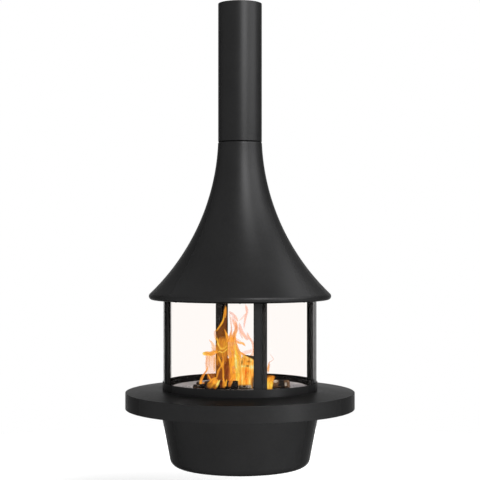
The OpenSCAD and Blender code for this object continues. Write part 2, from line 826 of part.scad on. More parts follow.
module air_shutter() {
  z1 = z_register - bowl_wall - shutter_gap;
  z0 = z1 - shutter_t;
  color(c_paint) difference() {
    union() {
      translate([0, 0, z0]) cylinder(r = shutter_r, h = shutter_t);
      rotate([0, 0, shutter_turn]) translate([shutter_r - knob_inset - knob_len, -knob_w / 2, z0 - knob_h])
        cube([knob_len, knob_w, knob_h + 1]);
    }
    air_places() translate([0, 0, z0 - knob_h - 1])
      cylinder(r = air_hole_r, h = knob_h + shutter_t + 2, $fn = 64);
    translate([0, 0, z0 - 1]) cylinder(r = pivot_r + run, h = shutter_t + 2, $fn = 48);
  }
}

// Grate and fire
module fire_grate() {
  slot_w = 12;
  pitch = 30;
  color(c_steel) difference() {
    translate([0, 0, z_hearth_low]) cylinder(r = grate_r - seat, h = hearth_t);
    for (i = [-3 : 3]) {
      half = sqrt(pow(grate_r - 30, 2) - pow(i * pitch, 2));
      translate([i * pitch - slot_w / 2, -half, z_hearth_low - 1]) cube([slot_w, 2 * half, hearth_t + 2]);
    }
  }
}
module ash_bed() {
  color(c_stone) ring(ash_r, grate_r + 2, z_hearth, ash_top);
}
// An uneven log section: angle to radius, as a share of the log's own radius
function bark(a, seed) = 1 + 0.05 * sin(3 * a + seed) + 0.03 * sin(5 * a + 2 * seed);
function log_section(r, seed) = [for (a = [0 : 24 : 359]) r * bark(a, seed) * [cos(a), sin(a)]];
function log_low(r, seed) = max([for (p = log_section(r, seed)) p[0]]);
module lying_log(x, y, az, r, len, seed) {
  color(c_wood) translate([x, y, ash_top + seat + log_low(r, seed)])
    rotate([0, 0, az]) rotate([0, 90, 0]) translate([0, 0, -len / 2])
      linear_extrude(height = len) polygon(log_section(r, seed));
}
module standing_log(x, y, z, az, tilt, r, len, seed) {
  color(c_wood) translate([x, y, z + seat + log_low(r, seed) * sin(tilt)])
    rotate([0, 0, az]) rotate([0, tilt, 0])
      linear_extrude(height = len) polygon(log_section(r, seed));
}
module log_charred() { lying_log(charred_x, charred_y, 4, charred_r, charred_len, 20); }
module log_left() { lying_log(left_x, left_y, 25, left_r, left_len, 75); }
module log_right() { lying_log(right_x, right_y, -15, right_r, right_len, 130); }
module log_back() { standing_log(back_x, back_y, z_hearth, 60, back_tilt, back_r, back_len, 200); }
module log_upright() {
  standing_log(upright_x, upright_y, ash_top, 30, upright_tilt, upright_r, upright_len, 40);
}

ceiling_flange();
flue_pipe();
flue_liner();
flue_insulation();
neck_sleeve();
neck_screws();
hood_shell();
hood_ribs();
hood_soffit();
soffit_screws();
smoke_cone();
baffle_blades();
smoke_baffle();
damper_bushes();
damper_plate();
damper_spindle();
damper_lever();
crown_ring();
post(0);  // post_right
post(1);  // post_back
post(2);  // post_left
post(3);  // post_front
post_bolts();
fixed_pane(1);  // fixed_pane_back
fixed_pane(3);  // fixed_pane_front
pane_seals();
collar_ring();
slide_track();
track_stops();
sliding_pane(0);  // sliding_pane_back
pane_rail(0);  // pane_rail_back
roller_pins(0);  // roller_pins_back
roller(0, 1);  // roller_back_1
roller(0, 2);  // roller_back_2
sliding_pane(2);  // sliding_pane_front
pane_rail(2);  // pane_rail_front
roller_pins(2);  // roller_pins_front
roller(2, 1);  // roller_front_1
roller(2, 2);  // roller_front_2
ledge_shell();
ledge_gussets();
ledge_underplate();
underplate_screws();
hearth_frame();
frame_bolts();
bowl_shell();
refractory_bed();
hearth_plate();
ash_well();
air_register();
shutter_pivot();
air_shutter();
ash_pan();
fire_grate();
ash_bed();
log_charred();
log_left();
log_upright();
log_right();
log_back();
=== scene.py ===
import math

import bpy
from mathutils import Matrix, Vector, noise

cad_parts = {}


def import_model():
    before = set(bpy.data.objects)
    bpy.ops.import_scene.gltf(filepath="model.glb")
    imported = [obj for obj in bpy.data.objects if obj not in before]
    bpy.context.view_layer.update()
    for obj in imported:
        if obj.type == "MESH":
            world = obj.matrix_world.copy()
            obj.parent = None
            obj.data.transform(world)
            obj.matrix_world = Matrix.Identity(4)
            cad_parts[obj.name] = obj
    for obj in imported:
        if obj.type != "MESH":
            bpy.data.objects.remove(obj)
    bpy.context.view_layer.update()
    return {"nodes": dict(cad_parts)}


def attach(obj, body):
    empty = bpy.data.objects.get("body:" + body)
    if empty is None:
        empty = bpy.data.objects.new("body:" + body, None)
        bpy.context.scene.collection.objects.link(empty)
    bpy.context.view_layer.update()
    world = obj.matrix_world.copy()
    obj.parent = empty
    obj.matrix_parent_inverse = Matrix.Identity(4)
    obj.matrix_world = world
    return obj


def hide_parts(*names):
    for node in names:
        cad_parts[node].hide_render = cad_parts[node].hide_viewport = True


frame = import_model()
scene = bpy.context.scene
nodes = frame["nodes"]
MM = 0.001  # pieces are laid out in mm, as in the CAD model; materials, floor, lamps and camera are in metres

# ------------------------ materials


class Tree:
    """Short names for the nodes of a node tree."""

    def __init__(self, tree):
        self.t = tree
        self.t.nodes.clear()

    def node(self, kind, inputs=None, **props):
        n = self.t.nodes.new(kind)
        for k, v in props.items():
            setattr(n, k, v)
        for k, v in (inputs or {}).items():
            self.put(n.inputs[k], v)
        return n

    def put(self, socket, value):
        if isinstance(value, bpy.types.NodeSocket):
            self.t.links.new(value, socket)
        else:
            socket.default_value = value

    def math(self, op, a, b=0.0):
        return self.node("ShaderNodeMath", {0: a, 1: b}, operation=op).outputs[0]

    def weigh(self, a, wa, b, wb):
        """The sum a * wa + b * wb."""
        return self.math("ADD", self.math("MULTIPLY", a, wa), self.math("MULTIPLY", b, wb))

    def span(self, fac, lo, hi, a=0.0, b=1.0):
        """Goes from lo to hi as fac goes from a to b."""
        n = self.node("ShaderNodeMapRange", {"Value": fac, "From Min": a, "From Max": b, "To Min": lo, "To Max": hi})
        return n.outputs["Result"]


class Mat(Tree):
    """A node material in object coordinates."""

    def __init__(self, name):
        self.m = bpy.data.materials.new(name)
        self.m.use_nodes = True
        super().__init__(self.m.node_tree)
        self.out = self.node("ShaderNodeOutputMaterial")
        self.where = self.node("ShaderNodeTexCoord").outputs["Object"]

    def plan(self):
        """x, y and the distance from the Z axis."""
        xyz = self.node("ShaderNodeSeparateXYZ", {"Vector": self.where}).outputs
        squares = [self.math("POWER", axis, 2.0) for axis in (xyz[0], xyz[1])]
        return xyz[0], xyz[1], self.math("SQRT", self.math("ADD", *squares))

    def noise(self, scale, detail, rough=0.55, at=None, distort=0.0):
        n = self.node("ShaderNodeTexNoise", {"Scale": scale, "Detail": detail, "Roughness": rough,
                                             "Distortion": distort, "Vector": at or self.where})
        return n.outputs["Fac"]

    def stretch(self, x, y, z, at=None):
        return self.node("ShaderNodeMapping", {"Scale": (x, y, z), "Vector": at or self.where}).outputs["Vector"]

    def ramp(self, fac, *stops):
        """A colour ramp of (place, colour or grey level)."""
        n = self.node("ShaderNodeValToRGB", {"Fac": fac})
        e = n.color_ramp.elements
        while len(e) < len(stops):
            e.new(0.5)
        for el, (p, c) in zip(e, stops):
            el.position = p
            el.color = (*c, 1) if hasattr(c, "__len__") else (c, c, c, 1)
        return n.outputs["Color"]

    def mix(self, fac, a, b):
        """Mixes two colours, through the node's colour sockets."""
        n = self.node("ShaderNodeMix", data_type="RGBA")
        for socket, v in ((0, fac), (6, a), (7, b)):
            self.put(n.inputs[socket], (*v, 1) if isinstance(v, tuple) and len(v) == 3 else v)
        return n.outputs[2]

    def bump(self, height, strength, distance, normal=None):
        n = self.node("ShaderNodeBump", {"Height": height, "Strength": strength, "Distance": distance})
        if normal is not None:
            self.put(n.inputs["Normal"], normal)
        return n.outputs["Normal"]

    def attr(self, name, kind="Fac"):
        return self.node("ShaderNodeAttribute", attribute_name=name).outputs[kind]

    def surface(self, **inputs):
        p = self.node("ShaderNodeBsdfPrincipled", {k.replace("_", " "): v for k, v in inputs.items()})
        self.put(self.out.inputs[0], p.outputs[0])
        return p


def paint():
    """Satin black powder coat, shaded as a dark metal, with a fine orange peel and faint wiping marks."""
    m = Mat("black_paint")
    peel = m.noise(900, 2, 0.6)
    cloud = m.noise(5, 4)
    wear = m.noise(60, 6, 0.7)
    colour = m.ramp(cloud, (0.3, (0.0201, 0.0201, 0.0204)), (0.7, (0.0234, 0.0234, 0.0237)))
    m.surface(Base_Color=m.mix(m.span(wear, 0, 0.35, 0.45, 0.75), colour, (0.0283, 0.0283, 0.0287)),
              Metallic=0.8, Specular_IOR_Level=0.15, Specular_Tint=(0.28, 0.28, 0.28, 1),
              Roughness=m.span(m.weigh(wear, 0.6, cloud, 0.4), 0.35, 0.43, 0.35, 0.65),
              Normal=m.bump(peel, 0.12, 0.0003, m.bump(wear, 0.05, 0.0006)))
    return m.m


def steel(name, dark, light, rough, metallic=1.0, sooty=0.0):
    """Brushed steel; sooty is how far patches of it are blackened."""
    m = Mat(name)
    brushed = m.noise(90, 5, 0.65, at=m.stretch(1, 1, 30))
    cloud = m.noise(9, 5, 0.6)
    colour = m.ramp(m.weigh(brushed, 0.5, cloud, 0.5), (0.35, dark), (0.65, light))
    if sooty:
        colour = m.mix(m.span(m.noise(3.5, 6, 0.65), 0, sooty, 0.35, 0.62), colour, (0.012, 0.011, 0.010))
    m.surface(Base_Color=colour, Metallic=metallic, Roughness=m.span(brushed, rough - 0.08, rough + 0.12, 0.3, 0.7),
              Normal=m.bump(brushed, 0.15, 0.0003))
    return m.m


def glass(tint):
    """Clear coated fire glass, faintly dusty, with painted shade that turns it grey where it is looked along, and a way
    through for the lamps.
    """
    m = Mat("glass")
    # painted shade: the colour goes dark and grey where the glass is looked along, standing for the look of glass seen
    # edge-on
    along = m.node("ShaderNodeLayerWeight", {"Blend": 0.5}).outputs["Facing"]
    colour = m.ramp(along, (0.655, tint), (0.70, 0.20), (0.77, 0.18), (0.84, 0.45), (0.92, 0.55), (1.0, 0.5))
    pane = m.surface(Base_Color=colour, Roughness=m.span(m.noise(14, 5), 0.0, 0.012, 0.45, 0.8),
                     Transmission_Weight=1.0, IOR=1.03)
    clear = m.node("ShaderNodeBsdfTransparent", {"Color": (*tint, 1)})
    shadow = m.node("ShaderNodeLightPath").outputs["Is Shadow Ray"]
    both = m.node("ShaderNodeMixShader", {0: shadow, 1: pane.outputs[0], 2: clear.outputs[0]})
    m.put(m.out.inputs[0], both.outputs[0])
    return m.m


def soot():
    """Painted shade: a dull black, nearly without reflection, for the sleeve in the joint between pipe and hood, so
    that the joint shows as a dark line.
    """
    m = Mat("soot")
    grain = m.noise(300, 4, 0.6)
    m.surface(Base_Color=m.ramp(grain, (0.3, 0.003), (0.7, 0.008)), Roughness=m.span(grain, 0.7, 0.9),
              Specular_IOR_Level=0.02, Normal=m.bump(grain, 0.3, 0.0005))
    return m.m


def glass_edge():
    """The ground edges of the panes."""
    m = Mat("glass_edge")
    m.surface(Base_Color=m.ramp(m.noise(30, 3), (0.3, (0.07, 0.08, 0.076)), (0.7, (0.11, 0.122, 0.118))),
              Roughness=m.span(m.noise(60, 3), 0.45, 0.6, 0.3, 0.7), Specular_IOR_Level=0.3)
    return m.m


def rope():
    """Dark woven seal rope."""
    m = Mat("seal_rope")
    weave = m.node("ShaderNodeTexWave", {"Scale": 420.0, "Distortion": 2.0, "Vector": m.where},
                   bands_direction="DIAGONAL").outputs["Fac"]
    m.surface(Base_Color=m.ramp(weave, (0.1, (0.010, 0.0098, 0.0095)), (0.9, (0.026, 0.0255, 0.025))),
              Roughness=m.span(weave, 0.85, 0.95), Specular_IOR_Level=0.12, Normal=m.bump(weave, 0.6, 0.0008))
    return m.m


def stone(name, dark, light, scale=40, rough=(0.8, 0.95), depth=0.002):
    """A grainy matt surface with pores: refractory, mineral wool, or the cast iron of the grate."""
    m = Mat(name)
    grain = m.noise(scale * 8, 6, 0.7)
    cloud = m.noise(scale * 0.4, 5, 0.6)
    pores = m.node("ShaderNodeTexVoronoi", {"Scale": scale * 3.0, "Vector": m.where}).outputs["Distance"]
    m.surface(Base_Color=m.ramp(m.weigh(cloud, 0.6, grain, 0.4), (0.32, dark), (0.68, light)),
              Roughness=m.span(grain, *rough), Normal=m.bump(pores, 0.35, depth, m.bump(grain, 0.4, depth * 0.5)))
    return m.m


def hearth():
    """The hearth plate: pale iron with curved streaks of ash, darker in a ring near its edge."""
    m = Mat("hearth_iron")
    x, y, r = m.plan()
    warp = m.noise(6, 3)
    rings = m.node("ShaderNodeTexNoise", {"Scale": 55.0, "Detail": 5.0, "Roughness": 0.7}, noise_dimensions="1D")
    m.put(rings.inputs["W"], m.math("ADD", r, m.math("MULTIPLY", warp, 0.03)))
    patch = m.noise(7, 5, 0.6)
    dust = m.weigh(rings.outputs["Fac"], 0.5, patch, 0.5)
    rim = m.ramp(m.math("ADD", r, m.math("MULTIPLY", warp, 0.05)), (0.29, 0.1), (0.33, 0.0), (0.365, 0.0), (0.395, 0.1))
    dust = m.math("ADD", dust, m.math("ADD", rim, m.weigh(x, -0.14, y, 0.16)))
    m.surface(Base_Color=m.ramp(dust, (0.38, (0.085, 0.08, 0.095)), (0.5, (0.22, 0.21, 0.23)),
                                (0.6, (0.48, 0.47, 0.48)), (0.72, (0.58, 0.56, 0.57))),
              Roughness=m.span(patch, 0.42, 0.68, 0.3, 0.7), Metallic=0.15,
              Normal=m.bump(m.noise(420, 5, 0.7), 0.25, 0.0008))
    return m.m


def ash():
    """Lumpy grey ash with dark flecks and a few embers."""
    m = Mat("ash")
    lump = m.noise(45, 7, 0.7)
    fleck = m.noise(260, 3, 0.6)
    colour = m.ramp(lump, (0.3, (0.045, 0.042, 0.042)), (0.5, (0.22, 0.21, 0.21)), (0.72, (0.52, 0.5, 0.5)))
    ember = m.span(m.noise(30, 5, 0.7, distort=1.2), 0, 1, 0.66, 0.72)
    m.surface(Base_Color=m.mix(m.span(fleck, 0, 1, 0.62, 0.7), colour, (0.02, 0.018, 0.017)),
              Roughness=m.span(fleck, 0.85, 1.0), Emission_Color=(1.0, 0.16, 0.015, 1),
              Emission_Strength=m.math("MULTIPLY", ember, 0.9),
              Normal=m.bump(lump, 0.7, 0.006, m.bump(fleck, 0.4, 0.002)))
    return m.m


# What a wood's mesh says of each point: its place along and across the grain, how far it is a broken end, charred,
# ashen and glowing, and how warm the colour of its glow is. The glow is partly embers and partly painted firelight on
# the sides the fire lights
WOOD_KEYS = ("grain", "cut", "burn", "pale", "glow", "warmth")


def wood(name, dark, mid, light, char):
    """Burning wood, charred, ashen and glowing where its attributes say so; the glow is partly embers and partly
    painted firelight on its lit sides.
    """
    m = Mat(name)
    at = m.attr("grain", "Vector")
    fibre = m.noise(1.0, 7, 0.68, at=m.stretch(22, 300, 300, at), distort=0.2)
    plate = m.node("ShaderNodeTexVoronoi", {"Scale": 1.0, "Vector": m.stretch(60, 120, 120, at)},
                   feature="DISTANCE_TO_EDGE").outputs["Distance"]
    cloud = m.noise(1.0, 5, 0.6, at=m.stretch(30, 60, 60, at))
    streak = m.noise(1.0, 4, 0.6, at=m.stretch(9, 130, 130, at))
    cut, burn, pale = m.attr("cut"), m.attr("burn"), m.attr("pale")
    colour = m.ramp(fibre, (0.3, dark), (0.52, mid), (0.75, light))
    coal = m.ramp(fibre, (0.35, (0.006, 0.005, 0.005)), (0.75, (0.03, 0.026, 0.024)))
    colour = m.mix(m.span(m.weigh(cloud, 0.9, burn, 0.8), 0, 1, 1.0 - char, 1.18 - char), colour, coal)
    powder = m.ramp(cloud, (0.35, (0.34, 0.30, 0.25)), (0.65, (0.72, 0.66, 0.57)))
    dust = m.span(m.math("ADD", cloud, m.math("MULTIPLY", pale, 0.9)), 0, 1, 0.86, 1.02)
    colour = m.mix(dust, colour, powder)
    crack = m.span(plate, 1.0, 0.0, 0.0, 0.05)
    colour = m.mix(m.math("MULTIPLY", crack, m.span(cut, 0.75, 0.1)), colour, (0.004, 0.003, 0.003))
    # painted light in part: the glow is the embers' own and, on the sides the fire lights, painted firelight
    glow_and_firelight = m.math("MULTIPLY", m.attr("glow"), m.span(cloud, 0.72, 1.0, 0.36, 0.5))
    heat = m.math("ADD", m.attr("warmth"), m.span(streak, -0.22, 0.24, 0.3, 0.7))
    shine = m.ramp(heat, (0.0, (0.30, 0.02, 0.002)), (0.25, (0.85, 0.13, 0.008)), (0.5, (1.0, 0.36, 0.03)),
                   (0.8, (1.0, 0.66, 0.13)), (1.0, (1.0, 0.86, 0.42)))
    m.surface(Base_Color=m.mix(glow_and_firelight, colour, (0.004, 0.003, 0.003)), Roughness=m.span(fibre, 0.75, 0.95),
              Specular_IOR_Level=0.25, Emission_Color=shine, Emission_Strength=glow_and_firelight,
              Normal=m.bump(fibre, 0.5, 0.003, m.bump(m.math("MINIMUM", plate, 0.12), 0.8, 0.02)))
    return m.m


# The materials of the record's slots
MATS = {
    "black_paint": paint(),
    "flue_steel": steel("flue_steel", (0.22, 0.215, 0.21), (0.42, 0.41, 0.4), 0.38, sooty=0.75),
    "raw_steel": steel("raw_steel", (0.10, 0.10, 0.102), (0.2, 0.2, 0.203), 0.42, 0.9),
    "glass": glass((1.0, 0.978, 0.962)),
    "seal_rope": rope(),
    "refractory": stone("refractory", (0.24, 0.19, 0.14), (0.46, 0.39, 0.31)),
    "wool": stone("wool", (0.16, 0.15, 0.12), (0.3, 0.28, 0.22), 90, depth=0.004),
    "hearth_iron": hearth(),
    "grate_iron": stone("grate_iron", (0.012, 0.011, 0.011), (0.045, 0.042, 0.04), 60, (0.6, 0.8), 0.001),
    "ash": ash(),
    "charred_wood": wood("charred_wood", (0.012, 0.008, 0.006), (0.035, 0.022, 0.016), (0.09, 0.055, 0.035), 0.75),
    "split_wood": wood("split_wood", (0.07, 0.035, 0.018), (0.17, 0.095, 0.05), (0.36, 0.235, 0.14), 0.42),
    "bark": wood("bark", (0.05, 0.03, 0.018), (0.16, 0.10, 0.06), (0.30, 0.21, 0.14), 0.35),
}
EDGE = glass_edge()
PAINTED_SHADE_BLACK = soot()
SLOTS = {name: o.data.materials[0].name.split(".")[0] for name, o in nodes.items()}
# the neck sleeve takes the dull black of painted shade for the joint; the other parts take their slots' materials
for name, o in nodes.items():
    o.data.materials[0] = PAINTED_SHADE_BLACK if name == "neck_sleeve" else MATS[SLOTS[name]]

# ------------------------ meshes


def mesh_piece(name, verts, faces, slot, body="root", replaces=(), sharp=40, mats=(), face_mats=None, attrs=None):
    """A piece of the scene from vertices in mm, with values per vertex for its material."""
    me = bpy.data.meshes.new(name)
    me.from_pydata([tuple(c * MM for c in v) for v in verts], [], faces)
    me.validate()
    for key, values in (attrs or {}).items():
        if hasattr(values[0], "__len__"):
            layer = me.attributes.new(key, "FLOAT_VECTOR", "POINT")
            layer.data.foreach_set("vector", [c for v in values for c in v])
        else:
            layer = me.attributes.new(key, "FLOAT", "POINT")
            layer.data.foreach_set("value", values)
    for p in me.polygons:
        p.use_smooth = True
    me.set_sharp_from_angle(angle=math.radians(sharp))
    o = bpy.data.objects.new(name, me)
    scene.collection.objects.link(o)
    for m in (mats or (MATS[slot],)):
        me.materials.append(m)
    if face_mats:
        me.polygons.foreach_set("material_index", face_mats[:len(me.polygons)])
    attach(o, body)
    if replaces:
        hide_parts(*replaces)


FILLET_STEP = 0.3  # radians of a fillet to a segment, about
FILLET_SHARE = 0.45  # the most that a fillet takes of the sides it joins
FLAT = 0.25  # the strip kept flat beside a fillet, so that shading turns only in the corner


def rounded(points):
    """A closed outline of (a, b[, fillet]) with arcs for its filleted corners."""
    out = []
    n = len(points)
    for i, p in enumerate(points):
        f = p[2] if len(p) > 2 else 0
        here = Vector(p[:2])
        if not f:
            out.append(tuple(here))
            continue
        a, b = Vector(points[i - 1][:2]) - here, Vector(points[(i + 1) % n][:2]) - here
        la, lb = a.length, b.length
        a, b = a / la, b / lb
        half = math.acos(max(-1, min(1, a.dot(b)))) / 2
        t = min(f / math.tan(half), la * FILLET_SHARE, lb * FILLET_SHARE)
        r = t * math.tan(half)
        mid = here + (a + b).normalized() * (r / math.sin(half))
        s, e = here + a * t, here + b * t
        if la * 0.5 > t + FLAT:
            out.append(tuple(s + a * FLAT))
        va, vb = s - mid, e - mid
        ang = va.angle_signed(vb)
        steps = max(3, int(abs(ang) / FILLET_STEP))
        for k in range(steps + 1):
            q = ang * -k / steps
            c, d = math.cos(q), math.sin(q)
            out.append((mid[0] + va[0] * c - va[1] * d, mid[1] + va[0] * d + va[1] * c))
        if lb * 0.5 > t + FLAT:
            out.append(tuple(e + b * FLAT))
    return out


def lathe(name, outline, node, segs=288):
    """Turns a closed outline of (radius, height) about Z, in paint."""
    n = len(outline)
    verts, faces = [], []
    for s in range(segs):
        a = 2 * math.pi * s / segs
        verts += [(r * math.cos(a), r * math.sin(a), z) for r, z in outline]
        t = (s + 1) % segs
        for i in range(n):
            j = (i + 1) % n
            faces.append((s * n + i, t * n + i, t * n + j, s * n + j))
    area = sum(outline[i][0] * outline[(i + 1) % n][1] - outline[(i + 1) % n][0] * outline[i][1] for i in range(n))
    if area < 0:
        faces = [f[::-1] for f in faces]
    mesh_piece(name, verts, faces, "black_paint", replaces=[node])


def arc_bar(name, radii, a0, a1, z0, z1, slot, bevel, spacing, mats=(), **kw):
    """A curved bar or pane with rounded edges between two radii, angles (degrees) and heights.
    Of two materials, the second is for the edges."""
    r_in, r_out = radii
    n = max(2, round((a1 - a0) / spacing))
    prof = rounded([(r_in, z0, bevel), (r_out, z0, bevel), (r_out, z1, bevel), (r_in, z1, bevel)])
    k = len(prof)
    inset = math.degrees(bevel / r_out)
    mid_r, mid_z = (r_in + r_out) / 2, (z0 + z1) / 2
    inner = [(a0 + inset + (a1 - a0 - 2 * inset) * i / n, 0) for i in range(n + 1)]
    stations = [(a0, bevel)] + inner + [(a1, bevel)]
    last = len(stations) - 1
    verts, faces, face_mats = [], [], []
    for a, shrink in stations:
        c, s = math.cos(math.radians(a)), math.sin(math.radians(a))
        for r, z in prof:
            if shrink:
                r = mid_r + (r - mid_r) * (1 - 2 * shrink / (r_out - r_in))
                z = mid_z + (z - mid_z) * (1 - 2 * shrink / (z1 - z0))
            verts.append((r * c, r * s, z))
    for i in range(last):
        for j in range(k):
            q = (j + 1) % k
            faces.append((i * k + j, (i + 1) * k + j, (i + 1) * k + q, i * k + q))
            upright = abs(prof[j][0] - prof[q][0]) < 1e-6 and abs(prof[j][1] - prof[q][1]) > 10
            face_mats.append(0 if upright and 0 < i < last - 1 else 1)
    faces.append(tuple(range(k)))
    faces.append(tuple(last * k + j for j in reversed(range(k))))
    face_mats += [1, 1]
    mesh_piece(name, verts, faces, slot, sharp=60, mats=mats, face_mats=face_mats if mats else None, **kw)


# ------------------------ shells, posts and panes
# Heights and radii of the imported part
WALL = 3
Z_PIPE, Z_NECK, Z_CROWN, Z_RIM = -788.0, -794.0, -1672.28, -1689.28
Z_COLLAR, Z_TRACK, Z_ASH, Z_HEARTH = -2156.28, -2175.98, -2181.28, -2187.28
Z_FLOOR, Z_LEDGE, Z_FRAME_LOW, Z_BOWL = -2197.28, -2200.28, -2211.28, -2636.28
Z_SKIRT, Z_UNDER = Z_LEDGE - 15, Z_LEDGE - 108
PIPE_R = 125
HOOD_R, HOOD_Z, HOOD_ARC = 1390.5, -741.0, 1266.0  # the arc of the flare: its centre and radius
ROLL_R, ROLL_Z, ROLL_ARC = 500.5, -1669.28, 20.0  # the arc of the rolled rim
LIP_R = 489.5
COLLAR_IN, COLLAR_OUT = 401, 442
SLOPE_R, LEDGE_R, UNDER_R = 474.15, 654, 640
BOWL_R, BOWL_HOLE, BOWL_CORNER, BOWL_FLANGE, TAPER = 455, 108, 50, 33, math.radians(10.9)
POSTS, POST_HALF, FIXED_PANES, SLIDING_PANES = (420, 430), 37.5, (434, 438), (410, 414)
POST_TURN = 15  # degrees from the axes to the posts

lathe("pipe_tube", rounded([(PIPE_R - WALL, Z_PIPE, 0.3), (PIPE_R, Z_PIPE, 2.4), (PIPE_R, 0, 0.8),
                            (PIPE_R - WALL, 0, 0.8)]), "flue_pipe", 240)


def hood_at(z, off=0.0):
    """The flare's radius at a height, on its face or off it to the inside."""
    return HOOD_R - math.sqrt((HOOD_ARC + off) ** 2 - (z - HOOD_Z) ** 2)


def flare(z0, z1, off=0.0, cells=72):
    """The flare's line from one height to another."""
    return [(hood_at(z, off), z) for z in (z0 + (z1 - z0) * (k / cells) for k in range(cells + 1))]


def arc(r, z, radius, a0, a1, cells):
    """An arc about (r, z) from one angle to another."""
    return [(r + radius * math.cos(a), z + radius * math.sin(a))
            for a in (a0 + (a1 - a0) * k / cells for k in range(cells + 1))]


DOWN = -math.pi / 2
z_tan = ROLL_Z + (HOOD_Z - ROLL_Z) * ROLL_ARC / (HOOD_ARC + ROLL_ARC)  # where the flare runs into the rolled rim
a_tan = math.atan2(z_tan - ROLL_Z, hood_at(z_tan) - ROLL_R)
outer, inner = flare(Z_NECK, z_tan), flare(z_tan, Z_NECK, WALL)
turn = arc(ROLL_R, ROLL_Z, ROLL_ARC, a_tan, DOWN, 18)
back = arc(ROLL_R, ROLL_Z, ROLL_ARC - WALL, DOWN, a_tan, 14)
lip = [(LIP_R + 0.8, Z_RIM), (LIP_R, Z_RIM + 0.8), (LIP_R, Z_RIM + WALL - 0.8), (LIP_R + 0.8, Z_RIM + WALL)]
neck_out, neck_in = outer[0][0], inner[-1][0]
neck = [(neck_in, Z_NECK - 0.3), (neck_in + 0.3, Z_NECK), (neck_out - 2.2, Z_NECK), (neck_out - 1.1, Z_NECK - 0.35),
        (neck_out - 0.35, Z_NECK - 1.1)]
lathe("hood_skin", [(hood_at(Z_NECK - 2.2), Z_NECK - 2.2)] + outer[1:] + turn[1:] + lip + back + inner[1:-1] + neck,
      "hood_shell", 320)

lathe("collar_band", rounded([(COLLAR_IN, Z_LEDGE), (COLLAR_OUT, Z_LEDGE), (COLLAR_OUT, Z_COLLAR, 1.1),
                              (COLLAR_OUT - WALL, Z_COLLAR, 1.1), (COLLAR_OUT - WALL, Z_FLOOR),
                              (COLLAR_IN + WALL, Z_FLOOR), (COLLAR_IN + WALL, Z_COLLAR - 10, 1.1),
                              (COLLAR_IN, Z_COLLAR - 10, 1.1)]), "collar_ring")

lathe("ledge_skin", rounded([(COLLAR_IN, Z_LEDGE), (SLOPE_R, Z_LEDGE, 2), (LEDGE_R, Z_SKIRT, 2.2),
                             (LEDGE_R, Z_UNDER, 2.0), (UNDER_R, Z_UNDER, 0.8), (UNDER_R, Z_UNDER + WALL, 0.8),
                             (LEDGE_R - WALL, Z_UNDER + WALL), (LEDGE_R - WALL, Z_SKIRT - WALL),
                             (SLOPE_R, Z_LEDGE - WALL), (COLLAR_IN, Z_LEDGE - WALL)]), "ledge_shell", 320)


def bowl_side(z, off=0.0):
    """The bowl's radius at a height of its tapered wall, on its face or off it to the inside."""
    return BOWL_R + (z - Z_UNDER) * math.tan(TAPER) - off / math.cos(TAPER)


def bowl_line(off):
    """The bowl's line from its floor up its wall."""
    z = Z_BOWL + BOWL_CORNER
    corner = arc(bowl_side(z, BOWL_CORNER), z, BOWL_CORNER - off, DOWN, -TAPER, 16)
    return corner + [(bowl_side(Z_FRAME_LOW, off), Z_FRAME_LOW - off)]


flange_r = bowl_side(Z_FRAME_LOW) - BOWL_FLANGE
lathe("bowl_skin", [(BOWL_HOLE, Z_BOWL)] + bowl_line(0) + [(flange_r, Z_FRAME_LOW), (flange_r, Z_FRAME_LOW - WALL)]
      + bowl_line(WALL)[::-1] + [(BOWL_HOLE, Z_BOWL + WALL)], "bowl_shell")

for k, side in enumerate(("right", "back", "left", "front")):
    mid = POST_TURN + 90 * k
    half = math.degrees(math.asin(POST_HALF / POSTS[1]))
    arc_bar(f"post_{side}_bar", POSTS, mid - half, mid + half, Z_FLOOR, Z_CROWN, "black_paint", 1.4, 0.5,
            replaces=[f"post_{side}"])
pane_mats = (MATS["glass"], EDGE)
for k, side in ((1, "back"), (3, "front")):
    a = POST_TURN + 90 * k
    arc_bar(f"pane_fixed_{side}", FIXED_PANES, a + 0.7, a + 89.3, Z_FLOOR + 7, Z_CROWN - 3.7, "glass", 0.7, 0.75,
            pane_mats, replaces=[f"fixed_pane_{side}"])
for k, side in ((0, "back"), (2, "front")):
    a = POST_TURN + 90 * k + 1.35
    arc_bar(f"pane_sliding_{side}", SLIDING_PANES, a, a + 87.3, Z_TRACK, Z_CROWN - 2.5, "glass", 0.7, 0.75,
            pane_mats, body=f"{side}_pane", replaces=[f"sliding_pane_{side}"])

# ------------------------ fire
# The camera, level and in front: its lens and sensor in mm, its frame in pixels
LENS, SENSOR, FRAME = 95.0, 36.0, 480
EYE_FAR, EYE_Z, FOCAL = 7246.0, -1350.0, LENS / SENSOR * FRAME


def sight(px, py, depth):
    """The point at a depth behind the axis that the camera sees at a place in its frame."""
    k = (EYE_FAR + depth) / FOCAL
    return Vector(((px - FRAME / 2) * k, depth, EYE_Z - (py - FRAME / 2) * k))


def seen_at(p):
    """Where the camera sees a point."""
    k = (EYE_FAR + p[1]) / FOCAL
    return FRAME / 2 + p[0] / k, FRAME / 2 + (EYE_Z - p[2]) / k


def smooth(points, n):
    """A Catmull-Rom curve through rows of numbers."""
    rows = [points[0]] + list(points) + [points[-1]]
    out = []
    for i in range(n + 1):
        t = i / n * (len(points) - 1)
        k = min(int(t), len(points) - 2)
        t -= k
        a, b, c, d = rows[k:k + 4]
        out.append([0.5 * (2 * q + (r - p) * t + (2 * p - 5 * q + 4 * r - s) * t * t + (3 * q - p - 3 * r + s) * t ** 3)
                    for p, q, r, s in zip(a, b, c, d)])
    return out


def step(x, lo, hi):
    """0 below lo, 1 above hi, and a smooth rise between them."""
    t = max(0.0, min(1.0, (x - lo) / (hi - lo)))
    return t * t * (3 - 2 * t)


